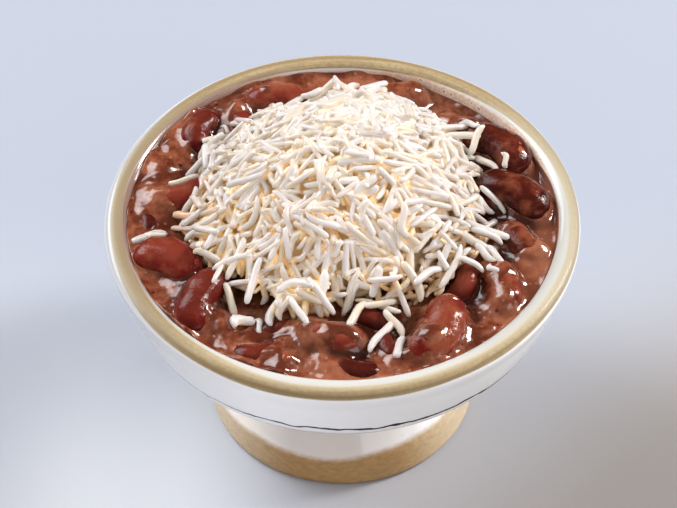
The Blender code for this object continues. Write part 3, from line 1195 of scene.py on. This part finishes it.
# How the heap fills up: places tried for each grain, how far a grain and its tips may stand out,
# the least gap that takes a grain, and how many failures in a row end it.
TRIES = 48
PROUDEST = 0.8 * MM
TIP_PROUD = 1.0 * MM
LEAST_LACK = 0.25 * MM
MISSES = 90

# How much the grains vary: the size of the clumps that lie one way, the share of grains that do,
# and the spreads of length, width, heading and lean.
CLUMP = 9.0 * MM
CLUMPED_SHARE = 0.6
BROKEN_SHARE = 0.08
LENGTH_SPREAD, WIDTH_SPREAD = 0.18, 0.13
NEIGHBOUR_SPREAD = 0.35
LEAN_SPREAD = 0.16

# Grains that stick out of the heap, and grains strewn along its edge.
TIP_ANGLES = (math.radians(20), math.radians(62))
TIP_HEIGHTS = (0.3, 1.5)
TALL_HEAP = 7.0 * MM
RIM_SPREAD, RIM_HEADING_SPREAD = 1.8, 0.8

# The core under the grains, and how deep a gap counts as deep for the painted shade and glow in it.
GROUND_SINK = 0.35 * MM
CORE_STEPS = 96
CORE_RINGS = 20
CORE_INSET = 6.5 * MM
CORE_DEPTH = 3.0 * MM
SKIN_REACH = 4
SUNK_SCALE = 5.0 * MM

# Where overcooked grains stick together, as (x, y, radius).
STICKY = [
    (-4.0 * MM, 31.0 * MM, 7.0 * MM),
    (17.0 * MM, 28.0 * MM, 6.0 * MM),
    (-10.0 * MM, -33.0 * MM, 6.0 * MM),
]
STICKY_GIRTH = 0.2
STICKY_SINK = 0.5 * MM

# Colours of the rice: of its grains; of the painted light-through and painted shade in the gaps
# between them, paler at the back and darker at the front right, where more painted shade lies; and
# of the painted glow that stands for light soaking through at the back.
CREAMY_RICE = (0.575, 0.51, 0.425)
CLOUDY_RICE = (0.60, 0.575, 0.58)
RICE_TIP = (0.63, 0.605, 0.62)
BACK_WARM = (0.80, 0.76, 0.68)
BACK_DEEP = (0.82, 0.73, 0.59)
BACK_GLOW = (0.076, 0.062, 0.04)
PAINTED_SHADE_WARM = (0.60, 0.43, 0.26)
PAINTED_SHADE_DEEP = (0.42, 0.23, 0.11)
BLACK = (0.0, 0.0, 0.0)

# Shapes of single grains: (name, bend, wave, slimness of the headed end, bluntness, bulge), and
# how often each comes.
GRAIN_KINDS = [
    ("straight", 0.12, 0.10, 0.08, 7.5, 0.0),
    ("curved", 0.42, -0.12, 0.12, 7.0, 0.0),
    ("hooked", 1.10, 0.15, 0.12, 6.0, 0.02),
    ("slim", 0.30, 0.28, 0.25, 6.0, -0.08),
    ("broken", 0.12, 0.05, -0.05, 10.0, 0.05),
    ("plump", 0.25, -0.22, 0.10, 6.0, 0.14),
]
KIND_SHARES = [0.38, 0.22, 0.03, 0.18, 0.08, 0.11]
BROKEN_KIND = 4
BROKEN_LENGTH = 7 * MM

# Grains that lie apart from the heap, as (x, y, heading, length, girth): millimetres, degrees,
# and a share of the usual width. They are laid in this order, each on what lies there.
LOOSE_GRAINS = [
    (-52.3, -8.0, 22, 10.5, 1.25),
    (-50.2, -9.6, 40, 6.5, 1.1),
    (-40.2, 16.9, 31, 9.5, 1.0),
    (-43.9, 12.0, 12, 9.0, 1.0),
    (-38.0, 17.7, -86, 9.5, 1.0),
    (-35.0, 28.6, 35, 11.5, 1.0),
    (-33.1, 34.0, -43, 4.0, 1.0),
    (-35.2, -19.8, -20, 8.5, 1.0),
    (-38.8, -16.2, -74, 8.5, 1.0),
    (-41.5, 3.5, 58, 9.0, 1.0),
    (-43.0, -1.5, -20, 8.0, 1.1),
    (-40.0, -3.5, 35, 9.5, 1.0),
    (-39.5, 0.5, -64, 8.0, 1.0),
    (-37.0, -7.5, 12, 9.0, 1.0),
    (-36.5, -11.0, -38, 10.0, 1.0),
    (-29.2, -32.1, -70, 9.5, 1.0),
    (-23.2, -28.8, -106, 14.0, 1.0),
    (-25.9, -39.1, 42, 6.7, 2.0),
    (-21.6, -39.5, -69, 5.5, 1.1),
    (-17.5, -35.8, 74, 10.5, 1.5),
    (-15.0, -33.6, 48, 8.5, 1.4),
    (-11.0, -33.8, -8, 9.0, 1.4),
    (-8.5, -34.5, -25, 8.0, 1.2),
    (-12.1, -31.9, 2, 10.0, 1.5),
    (-15.2, -37.0, 66, 7.0, 1.2),
    (-5.3, -34.8, -40, 12.0, 1.2),
    (-11.1, -39.2, -61, 9.8, 1.0),
    (3.8, -38.2, 62, 12.8, 1.0),
    (10.2, -34.0, 15, 9.0, 1.0),
    (10.2, -43.4, -121, 13.5, 1.0),
    (13.7, -39.5, -60, 9.5, 1.0),
    (14.7, -47.6, -104, 8.0, 1.2),
    (29.0, -23.6, 64, 14.5, 1.0),
    (22.3, -26.7, 42, 10.5, 1.2),
    (38.0, -18.0, -39, 7.5, 1.0),
    (34.5, -21.9, -19, 7.7, 1.0),
    (40.7, -18.1, -52, 7.0, 1.0),
    (39.9, -23.2, -59, 4.0, 1.1),
    (38.9, -9.0, -12, 13.5, 1.1),
    (39.1, -10.7, -13, 10.0, 1.0),
    (36.2, 31.7, -44, 9.5, 1.1),
    (40.5, 18.5, -48, 9.0, 1.0),
    (45.4, 17.8, -72, 5.0, 1.1),
    (7.0, 47.4, 8, 4.0, 1.2),
]


def grain_mesh(name, bend, wave, slim, blunt, bulge):
    """One grain along X in a box of side 1, bent towards +Y."""
    rings = []
    for along in np.cos(np.linspace(0.0, math.pi, GRAIN_RINGS + 2)[1:-1]):
        wide = 0.5 * (1.0 - abs(along) ** blunt) ** 0.5
        wide = wide * (1.0 - slim * max(along, 0.0)) * (1.0 + bulge)
        lift = bend * (along * along - BOW_MIDDLE) + wave * math.sin(WAVE_TURN * along)
        ring = []
        for side in range(GRAIN_SIDES):
            turn = math.tau * side / GRAIN_SIDES + GRAIN_TWIST * along
            ring.append((along / 2, wide * math.cos(turn) + lift, wide * math.sin(turn)))
        rings.append(ring)
    tip, bow = wave * math.sin(WAVE_TURN), bend * BOW_END
    mesh = closed_rings("grain_" + name, rings, (0.5, bow + tip, 0.0), (-0.5, bow - tip, 0.0))
    store(mesh, "end", "FLOAT", [(2 * vert.co.x) ** 4 for vert in mesh.vertices])
    return mesh


def stickiness(x, y):
    """1 in the middle of a sticky clump, 0 away from all of them."""
    return sum(np.exp(-((x - a) ** 2 + (y - b) ** 2) / reach**2) for a, b, reach in STICKY)


class Pile:
    """Grains laid one by one on a height map, each at rest on what already lies under it."""

    def __init__(self, heights, seed, level):
        self.heights = heights
        self.level = level
        self.random = np.random.default_rng(seed)
        self.grains = []

    def rest(self, x, y, heading, length, width):
        """For several grains at once, how high the middle comes to rest, and the slope of each."""
        east, north = np.cos(heading)[:, None], np.sin(heading)[:, None]
        reach = PROBES * length[:, None]
        under = np.full(reach.shape, FAR_BELOW)
        for side in PROBE_SIDES:
            off = side * width[:, None]
            probe_x = x[:, None] + reach * east - off * north
            probe_y = y[:, None] + reach * north + off * east
            under = np.maximum(under, read_map(self.heights, probe_x, probe_y))
        half = len(PROBES) // 2
        middle = under[:, half]
        best = middle.copy()
        slope = np.zeros(len(x))
        for i in range(half):
            for j in range(half + 1, len(PROBES)):
                span = reach[:, j] - reach[:, i]
                level = (under[:, i] * reach[:, j] - under[:, j] * reach[:, i]) / span
                higher = level > best
                best = np.where(higher, level, best)
                slope = np.where(higher, (under[:, j] - under[:, i]) / span, slope)
        rising = ((under[:, half + 1 :] - middle[:, None]) / reach[:, half + 1 :]).max(axis=1)
        falling = ((under[:, :half] - middle[:, None]) / reach[:, :half]).min(axis=1)
        balanced = np.clip(0.0, rising, np.maximum(falling, rising))
        slope = np.where(best == middle, balanced, slope)
        return best + width * ROUNDNESS / 2 * np.sqrt(1 + slope**2) - CROWDING, slope

    def lay(self, x, y, heading, length, width, height, slope):
        """Keeps one grain and raises the map by its top."""
        self.grains.append((x, y, height, heading, slope, length, width))
        flat = length / math.sqrt(1 + slope * slope)
        window = window_of((x, y), (x, y), flat / 2 + width)
        east, north = np.meshgrid(AXIS[window[0]] - x, AXIS[window[1]] - y, indexing="ij")
        along = east * math.cos(heading) + north * math.sin(heading)
        beside = np.abs(north * math.cos(heading) - east * math.sin(heading))
        share = np.clip(np.abs(along) / (flat / 2), 0.0, 1.0)
        girth = width / 2 * (1.0 - share**GRAIN_TAPER) ** (1 / GRAIN_BLUNTNESS)
        dome = np.sqrt(np.maximum(girth**2 - beside**2, 0.0)) * ROUNDNESS
        top = np.where(beside < girth, height + along * slope + dome, FAR_BELOW)
        self.heights[window] = np.maximum(self.heights[window], top)

    def sizes(self, count, settings):
        """Lengths and widths for some grains, a few of them broken."""
        spread = self.random.normal(1.0, LENGTH_SPREAD, count)
        length = settings.grain_length * spread.clip(0.45, 1.4)
        broken = self.random.random(count) < BROKEN_SHARE
        spread = self.random.normal(1.03, WIDTH_SPREAD, count)
        width = settings.grain_width * spread.clip(0.75, 1.4)
        return np.where(broken, length * 0.55, length), width

    def fill(self, target, settings):
        """Lays grains where the pile is lowest under its target, until it has filled it. Most of
        them lie roughly as their neighbours do, so that they clump."""
        drift = math.tau * noise_over(*cells(), CLUMP, 51.0)
        misses = 0
        while misses < MISSES:
            lack = target - self.heights
            missing = np.argwhere(lack > LEAST_LACK)
            if not len(missing):
                break
            lacks = lack[missing[:, 0], missing[:, 1]] ** 2
            picked = missing[self.random.choice(len(missing), size=TRIES, p=lacks / lacks.sum())]
            x = AXIS[picked[:, 0]] + self.random.uniform(-CELL, CELL, TRIES)
            y = AXIS[picked[:, 1]] + self.random.uniform(-CELL, CELL, TRIES)
            clumped = drift[picked[:, 0], picked[:, 1]]
            clumped = clumped + self.random.normal(0.0, NEIGHBOUR_SPREAD, TRIES)
            free = self.random.uniform(0.0, math.tau, TRIES)
            heading = np.where(self.random.random(TRIES) < CLUMPED_SHARE, clumped, free)
            length, width = self.sizes(TRIES, settings)
            sticky = stickiness(x, y)
            width *= 1.0 + STICKY_GIRTH * sticky
            height, slope = self.rest(x, y, heading, length, width)
            height -= STICKY_SINK * sticky
            proud = height + width * ROUNDNESS / 2 - read_map(target, x, y)
            for end in (-0.5, 0.5):
                tip_x = x + end * length * np.cos(heading)
                tip_y = y + end * length * np.sin(heading)
                tip = height + end * length * slope
                wanted = np.maximum(read_map(target, tip_x, tip_y), self.level)
                proud = np.maximum(proud, tip - wanted - TIP_PROUD)
            proud = np.where(np.abs(slope) > STEEPEST, 1.0, proud)
            if proud.min() > PROUDEST:
                misses += 1
                continue
            misses = 0
            limit = max(proud.min(), PROUDEST * self.random.random())
            best = int(np.flatnonzero(proud <= limit)[0])
            lean = slope[best] + self.random.normal(0.0, LEAN_SPREAD)
            self.lay(x[best], y[best], heading[best], length[best], width[best], height[best], lean)

    def stick_out(self, count, target, settings):
        """Pushes grains into the heap at a slant, so that their tips stand out of it."""
        inner = np.argwhere(target > self.level + TALL_HEAP)
        picked = inner[self.random.integers(len(inner), size=count)]
        heading = self.random.uniform(0.0, math.tau, count)
        slope = np.tan(self.random.uniform(*TIP_ANGLES, count))
        length, width = self.sizes(count, settings)
        tip_above = self.random.uniform(*TIP_HEIGHTS, count) * MM
        flat = length / np.sqrt(1 + slope * slope)
        tip_x, tip_y = AXIS[picked[:, 0]], AXIS[picked[:, 1]]
        x, y = tip_x - flat / 2 * np.cos(heading), tip_y - flat / 2 * np.sin(heading)
        tips = read_map(self.heights, tip_x, tip_y) + tip_above
        height = tips - flat / 2 * slope
        for grain in zip(x, y, heading, length, width, height, slope):
            self.lay(*grain)

    def scatter_rim(self, count, target, settings):
        """Strews grains along the heap's edge, most of them pointing outwards."""
        inside = np.argwhere(target > FAR_BELOW)
        middle = AXIS[inside].mean(axis=0)
        length, width = self.sizes(count, settings)
        for i in range(count):
            turn = self.random.uniform(0.0, math.tau)
            east, north = math.cos(turn), math.sin(turn)
            reach = edge_reach(target, middle, east, north, 0.0)
            reach += (self.random.normal(-1.0, RIM_SPREAD) - 2.0 * max(north, 0.0)) * MM
            place = middle + reach * np.array([east, north])
            heading = turn + self.random.normal(0.0, RIM_HEADING_SPREAD)
            self.lay_one(*place, heading, length[i], width[i], STEEPEST)

    def lay_one(self, x, y, heading, length, width, steepest=math.inf):
        values = [np.array([value]) for value in (x, y, heading, length, width)]
        height, slope = self.rest(*values)
        if abs(slope[0]) < steepest:
            self.lay(x, y, heading, length, width, float(height[0]), float(slope[0]))


def edge_reach(heights, middle, east, north, floor):
    """How far a heap reaches from its middle along a bearing: the last place above a floor."""
    out = np.arange(0.0, MAP_HALF, CELL)
    solid = read_map(heights, middle[0] + out * east, middle[1] + out * north) > floor
    return out[solid].max()


def closed_skin(heights):
    """A skin drawn over the grains, which spans the gaps between them."""
    for pick in (np.max, np.min):
        for axis in (0, 1):
            steps = range(-SKIN_REACH, SKIN_REACH + 1)
            heights = pick([np.roll(heights, step, axis) for step in steps], axis=0)
    return heights


def heap_map(level):
    """The heap's wished top, from the part's own heap with bites out of its rim, or FAR_BELOW."""
    heights = np.full((len(AXIS), len(AXIS)), FAR_BELOW)
    window = window_of(*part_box("rice_heap"), margin=0.0)
    top = top_of(NODES["rice_heap"].data, window)
    x, y = cells(window)
    lumps = noise_over(x, y, 6.5 * MM, 31.0)
    bites = noise_over(x, y, 4.5 * MM, 17.0)
    back = ease(y, 20 * MM, 42 * MM)
    notch = np.exp(-(((x + 10 * MM) / (6 * MM)) ** 2))
    wished = top + (lumps * 1.6 - 1.0 - back * (1.8 + notch * 3.0)) * MM
    kept = (wished > level) & ((top > level + 5.5 * MM) | (bites < 0.12))
    heights[window] = np.where(kept, wished, FAR_BELOW)
    return heights


def core_mesh(target, settings, level):
    """The heap's core: the heap's own form, smaller by the layer of single grains."""
    low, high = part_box("rice_heap")
    middle = (low + high) / 2
    shares = np.linspace(0.06, 1.0, CORE_RINGS)
    rings = [[] for _ in shares]
    for i in range(CORE_STEPS):
        turn = math.tau * i / CORE_STEPS
        east, north = math.cos(turn), math.sin(turn)
        reach = edge_reach(target, middle, east, north, level - 1 * MM) - CORE_INSET
        for ring, share in zip(rings, shares):
            x, y = middle.x + reach * share * east, middle.y + reach * share * north
            top = float(read_map(target, x, y)) - settings.layer
            lump = noise.noise(Vector((x, y, 0.0)) / (2.2 * MM)) * 0.7 * MM
            ring.append((x, y, max(top + lump, level - 1.5 * MM - share * MM)))
    bottom = level - CORE_DEPTH
    rings.append([(x, y, bottom) for x, y, _ in rings[-1]])
    x, y = middle.x, middle.y
    peak = float(read_map(target, x, y)) - settings.layer
    return closed_rings("rice_core", rings, (x, y, peak), (x, y, bottom))


def grain_tree():
    """Puts a grain of the listed kind on each point, turned and sized by the point's own values."""
    inputs = {"Grain Kinds": "Collection", "Rice": "Material"}
    tree, graph, given = geometry_graph("Rice Grains", inputs)
    kinds = graph.wire(
        "GeometryNodeCollectionInfo",
        None,
        {"Collection": given["Grain Kinds"], "Separate Children": True, "Reset Children": True},
    )

    def named(name, kind):
        return graph.wire("GeometryNodeInputNamedAttribute", {"data_type": kind}, {"Name": name})

    grains = graph.wire(
        "GeometryNodeInstanceOnPoints",
        None,
        {
            "Points": given["Geometry"],
            "Instance": kinds,
            "Pick Instance": True,
            "Instance Index": named("kind", "INT"),
            "Rotation": named("turn", "QUATERNION"),
            "Scale": named("size", "FLOAT_VECTOR"),
        },
    )
    end_tree(graph, grains, given["Rice"])
    return tree


def grain_piece(name, grains, random, tree, kinds, material, skin, level):
    """One piece of all these grains, with each grain's tint and stain, and how deep it lies."""
    rows = np.array(grains)
    count = len(rows)
    x, y, z, heading, slope, length, width = rows.T
    rolls = random.normal(0.0, 0.4, count) + np.where(random.random(count) < 0.5, math.pi, 0.0)
    turns = []
    for turned, tilted, roll in zip(heading, slope, rolls):
        angles = ((turned, "Z"), (-math.atan(tilted), "Y"), (roll, "X"))
        about_z, about_y, about_x = (Matrix.Rotation(angle, 3, axis) for angle, axis in angles)
        turns.append((about_z @ about_y @ about_x).to_quaternion())
    mesh = bpy.data.meshes.new(name)
    mesh.from_pydata([tuple(row[:3]) for row in rows], [], [])
    kind = random.choice(len(GRAIN_KINDS), size=count, p=KIND_SHARES)
    store(mesh, "kind", "INT", np.where(length < BROKEN_LENGTH, BROKEN_KIND, kind))
    store(mesh, "turn", "QUATERNION", turns)
    store(mesh, "size", "FLOAT_VECTOR", np.stack([length, width, width * FLATNESS], -1))
    store(mesh, "tint", "FLOAT", random.random(count))
    low = 1.0 - ease(z - level, 0.6 * MM, 3.2 * MM)
    left_edge = np.exp(-(((x + 40 * MM) / (7 * MM)) ** 2) - (((y - 1 * MM) / (11 * MM)) ** 2))
    stain = low * random.random(count) * 0.7 + left_edge * (random.random(count) * 0.9 + 0.3)
    store(mesh, "stain", "FLOAT", np.clip(stain, 0.0, 1.0))
    piece = new_object(name, mesh)
    grow(piece, tree, {"Grain Kinds": kinds, "Rice": material})
    points = np.array([vert.co for vert in piece.data.vertices])
    sunk = (read_map(skin, points[:, 0], points[:, 1]) - points[:, 2]) / SUNK_SCALE
    store(piece.data, "sunk", "FLOAT", np.clip(sunk, 0.0, 1.0))
    return piece


def grain_color(graph, settings, cloud, high, back, shaded_right):
    """The grains' colour: warmer in the gaps between them as painted light-through and shade,
    darker at the front right as painted shade, and stained low.
    """
    tint, sunk, stain, end = (graph.attribute(name) for name in ("tint", "sunk", "stain", "end"))
    warm = graph.paint(settings.warm_color, (back, BACK_WARM), (shaded_right * 0.6, PAINTED_SHADE_WARM))
    deep = graph.paint(settings.deep_color, (back, BACK_DEEP), (shaded_right * 0.8, PAINTED_SHADE_DEEP))
    # Painted light-through and shade where a point lies sunk under its neighbours, weaker low on
    # the heap.
    near = graph.ramp(sunk + (cloud - 0.5) * 0.1, 0.04, 0.42) * (high * 0.25 + 0.75)
    return graph.paint(
        settings.color,
        (graph.ramp(tint, 0.25, 0.95), CREAMY_RICE),
        (graph.ramp(cloud, 0.42, 0.7) * 0.6, CLOUDY_RICE),
        (end * 0.5, RICE_TIP),
        (near, warm),
        (graph.ramp(sunk, 0.45, 0.9) * (high * 0.4 + 0.6), deep),
        (graph.ramp(stain + (cloud - 0.5) * 0.8, 0.45, 0.95) * 0.7, settings.stain),
    )


def rice_material(settings, level, name, core=False):
    """Cooked rice, for the grains or for the core under them. A faint glow stands for the light
    that soaks through the grains into the gaps."""
    material, graph, place = surface_graph(name)
    cloud = graph.noise(place, 260.0, 3.0)
    x, y, z = graph.separate(place)
    # Painted shade at the front right, and more painted glow high up; the back gets paler gap
    # colours.
    shaded_right = graph.ramp(x - y * 0.6, 20 * MM, 36 * MM)
    high = graph.ramp(z, level + 0.5 * MM, level + 7.0 * MM)
    back = graph.ramp(y, -12.0 * MM, 18.0 * MM)
    lit = high * (1.0 - shaded_right * 0.8)
    if core:
        # The core shows through the gaps, painted in their warm and deep colours.
        color = graph.mix(graph.ramp(cloud, 0.35, 0.65), settings.warm_color, settings.deep_color)
        normal = graph.bump(graph.noise(place, 330.0, 2.0), 1.2 * MM)
        lit = lit * 0.55
    else:
        color = grain_color(graph, settings, cloud, high, back, shaded_right)
        normal = graph.bump(cloud * 0.5 + graph.noise(place, 1100.0, 2.0) * 0.15, 0.2 * MM)
        lit = lit * graph.ramp(graph.attribute("sunk"), 0.04, 0.5) * 0.85
    finish_surface(
        graph,
        {
            "Emission Color": graph.mix(lit, BLACK, graph.mix(back, settings.glow, BACK_GLOW)),
            "Emission Strength": 1.0,
            "Base Color": color,
            "Roughness": 0.34 + cloud * 0.16,
            "Normal": normal,
            "Coat Weight": 0.4,
            "Coat Roughness": 0.16,
            "IOR": 1.4,
            "Subsurface Weight": 1.0,
            "Subsurface Radius": (1.0, 0.87, 0.72),
            "Subsurface Scale": 1.5 * MM,
        },
        scattering="BURLEY",
    )
    return material


class DISH_OT_heap_rice(bpy.types.Operator):
    """Heap the rice on the gravy grain by grain, then drop the loose grains beside the heap"""

    bl_idname = "dish.heap_rice"
    bl_label = "Heap the rice"

    def execute(self, context):
        settings, gravy = context.scene.dish.rice, context.scene.dish.gravy
        beans = bean_maps()
        ground = gravy_map(gravy, beans) - GROUND_SINK
        for window, top, _ in beans.values():
            ground[window] = np.maximum(ground[window], top)
        target = heap_map(gravy.level)
        material = rice_material(settings, gravy.level, "cooked_rice")
        core_material = rice_material(settings, gravy.level, "rice_core", core=True)
        core = new_object("rice_core", core_mesh(target, settings, gravy.level), core_material)
        window = window_of(*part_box("rice_heap"), margin=0.0)
        ground[window] = np.maximum(ground[window], top_of(core.data, window))
        pile = Pile(ground, settings.seed, gravy.level)
        pile.fill(target, settings)
        pile.scatter_rim(settings.stragglers, target, settings)
        pile.stick_out(settings.tips, target, settings)
        heaped = list(pile.grains)
        pile.grains = []
        for x, y, heading, length, girth in LOOSE_GRAINS:
            width = girth * settings.grain_width
            pile.lay_one(x * MM, y * MM, math.radians(heading), length * MM, width)
        kinds = bpy.data.collections.new("grain_kinds")
        for kind in GRAIN_KINDS:
            shape = grain_mesh(*kind)
            kinds.objects.link(bpy.data.objects.new(shape.name, shape))
        tree = grain_tree()
        skin = closed_skin(pile.heights)
        shared = (pile.random, tree, kinds, material, skin, gravy.level)
        present(grain_piece("rice_grains", heaped, *shared), "cooked_rice", "rice_heap")
        present(grain_piece("loose_rice", pile.grains, *shared), "cooked_rice")
        present(core, "cooked_rice")
        for obj in list(kinds.objects):
            bpy.data.objects.remove(obj, do_unlink=True)
        bpy.data.collections.remove(kinds)
        return {"FINISHED"}


# Stage ------------------------------------------------------------------------------------------


# Half the floor's width, in metres, and its colours: veined, painted shade towards the back, a
# painted shadow at the near right and painted light at the near left.
FLOOR_HALF = 2.0
FLOOR_DROP = 0.05 * MM
VEINED_FLOOR = (0.53, 0.55, 0.61)
PAINTED_SHADE_FLOOR = (0.37, 0.40, 0.47)
PAINTED_SHADOW_FLOOR = (0.31, 0.297, 0.293)
PAINTED_LIGHT_FLOOR = (0.64, 0.665, 0.72)

# The camera's sensor in millimetres, and how far from the lip's middle it aims.
SENSOR_WIDTH = 36.0
AIM_OFFSET = Vector((-0.95, 0.0, -18.12)) * MM

# Soft lights, as (name, place, width and height, watts, colour). The main light, from the back
# left, is a large one with a smaller one inside it: (name, width, share of its power).
SOFT_LIGHTS = [
    ("front_fill", (0.95, -1.40, 0.30), (1.2, 0.7), 3.8, (0.86, 0.93, 1.0)),
    ("side_light", (1.44, 0.60, 1.0), (0.36, 0.9), 29.5, (1.0, 0.975, 0.95)),
]
MAIN_LIGHTS = (("main_light", 1.6, 0.5), ("main_light_middle", 0.75, 0.5))
MAIN_PLACE = (-1.40, 1.10, 1.40)
MAIN_COLOR = (0.93, 0.965, 1.0)


def floor_material(settings):
    """The pale floor, with faint veins and soft painted pools of light and shade."""
    material, graph, place = surface_graph("pale_floor")
    x, y, _ = graph.separate(place)
    # A painted shadow at the near right, and painted light at the near left.
    painted_shadow = graph.ramp(x - y, 0.0, 0.13) * graph.ramp(y, 0.10, -0.02)
    painted_light = graph.ramp(x, -0.01, -0.05) * graph.ramp(x, -0.11, -0.07)
    painted_light = painted_light * graph.ramp(y, 0.03, -0.05)
    color = graph.paint(
        settings.floor,
        (graph.ramp(graph.noise(place, 9.0, 4.0, 0.6), 0.35, 0.7), VEINED_FLOOR),
        (graph.ramp(y, -0.08, 0.09), PAINTED_SHADE_FLOOR),
        (painted_shadow, PAINTED_SHADOW_FLOOR),
        (painted_light, PAINTED_LIGHT_FLOOR),
    )
    finish_surface(graph, {"Base Color": color, "Roughness": 0.55, "Specular IOR Level": 0.25})
    return material


def surround(settings):
    """Light from all round: bright low down in front and beside, and dim overhead and behind."""
    world = bpy.data.worlds.new("surround")
    world.use_nodes = True
    world.node_tree.nodes.clear()
    graph = Graph(world.node_tree)
    _, behind, above = graph.separate(graph.wire("ShaderNodeTexCoord", output="Generated"))
    seen, mirrored = graph.wires("ShaderNodeLightPath", None, "Is Camera Ray", "Is Glossy Ray")
    lifted = graph.ramp(above, -0.1, 0.4) * 0.3 + 0.7
    strength = graph.ramp(behind, 0.6, 0.0) * lifted * 0.78 + 0.22
    strength = strength * (1.0 - mirrored * 0.85) * settings.sky_strength
    kind = "ShaderNodeBackground"
    light = graph.wire(kind, None, {"Color": rgba(settings.sky), "Strength": strength})
    pale = graph.wire(kind, None, {"Color": rgba(settings.floor), "Strength": 1.0})
    shown = graph.wire("ShaderNodeMixShader", None, {0: seen, 1: light, 2: pale})
    graph.add("ShaderNodeOutputWorld", None, {"Surface": shown})
    return world


def soft_light(name, middle, toward, size, power, color):
    """A rectangular soft light at a place, facing a point."""
    light = bpy.data.lights.new(name, "AREA")
    light.shape = "RECTANGLE"
    light.size, light.size_y = size
    light.energy = power
    light.color = color
    obj = bpy.data.objects.new(name, light)
    obj.location = middle
    obj.rotation_euler = (Vector(toward) - Vector(middle)).to_track_quat("-Z", "Y").to_euler()
    obj.visible_camera = False
    bpy.context.scene.collection.objects.link(obj)
    return obj


class DISH_OT_set_stage(bpy.types.Operator):
    """Lay the floor, hang the lights and set up the camera"""

    bl_idname = "dish.set_stage"
    bl_label = "Set the stage"

    def execute(self, context):
        settings = context.scene.dish.stage
        scene = context.scene
        sides = ((-1, -1), (1, -1), (1, 1), (-1, 1))
        corners = [(x * FLOOR_HALF, y * FLOOR_HALF, 0.0) for x, y in sides]
        mesh = mesh_of("floor", corners, [(0, 1, 2, 3)])
        floor = new_object("floor", mesh, floor_material(settings))
        floor.location.z = -FLOOR_DROP
        scene.world = surround(settings)
        focus = Vector((0.0, 0.0, BOWL_TOP.z))
        for name, width, share in MAIN_LIGHTS:
            size, power = (width, width), settings.key_power * share
            soft_light(name, MAIN_PLACE, focus, size, power, MAIN_COLOR)
        for name, middle, size, power, color in SOFT_LIGHTS:
            soft_light(name, middle, focus, size, power, color)
        data = bpy.data.cameras.new("camera")
        data.lens = settings.lens
        data.sensor_width = SENSOR_WIDTH
        data.clip_start, data.clip_end = 0.01, 10.0
        camera = bpy.data.objects.new("camera", data)
        elevation = settings.elevation
        back = Vector((0.0, -math.cos(elevation), math.sin(elevation)))
        camera.location = focus + back * settings.distance
        aim = focus + AIM_OFFSET - camera.location
        camera.rotation_euler = aim.to_track_quat("-Z", "Y").to_euler()
        scene.collection.objects.link(camera)
        scene.camera = camera
        scene.view_settings.view_transform = "Standard"
        scene.view_settings.look = "Medium High Contrast"
        return {"FINISHED"}


# Panel and registration -------------------------------------------------------------------------


class DISH_PT_panel(bpy.types.Panel):
    """The dish's settings and the steps that make it"""

    bl_idname = "DISH_PT_panel"
    bl_label = "Red beans and rice"
    bl_space_type = "VIEW_3D"
    bl_region_type = "UI"
    bl_category = "Red beans"

    def draw(self, context):
        dish = context.scene.dish
        for group, operator in (
            (dish.bowl, DISH_OT_turn_bowl),
            (dish.beans, DISH_OT_lay_beans),
            (dish.gravy, DISH_OT_pour_gravy),
            (dish.rice, DISH_OT_heap_rice),
            (dish.stage, DISH_OT_set_stage),
        ):
            box = self.layout.box()
            for name in group.__annotations__:
                box.prop(group, name)
            box.operator(operator.bl_idname)


CLASSES = (
    BowlSettings,
    GravySettings,
    BeanSettings,
    RiceSettings,
    StageSettings,
    DishSettings,
    DISH_OT_turn_bowl,
    DISH_OT_lay_beans,
    DISH_OT_pour_gravy,
    DISH_OT_heap_rice,
    DISH_OT_set_stage,
    DISH_PT_panel,
)


def register():
    for cls in CLASSES:
        bpy.utils.register_class(cls)
    bpy.types.Scene.dish = PointerProperty(type=DishSettings)


def unregister():
    del bpy.types.Scene.dish
    for cls in reversed(CLASSES):
        bpy.utils.unregister_class(cls)


def main():
    register()
    bpy.ops.dish.turn_bowl()
    bpy.ops.dish.lay_beans()
    bpy.ops.dish.pour_gravy()
    bpy.ops.dish.heap_rice()
    bpy.ops.dish.set_stage()


if __name__ == "__main__":
    main()
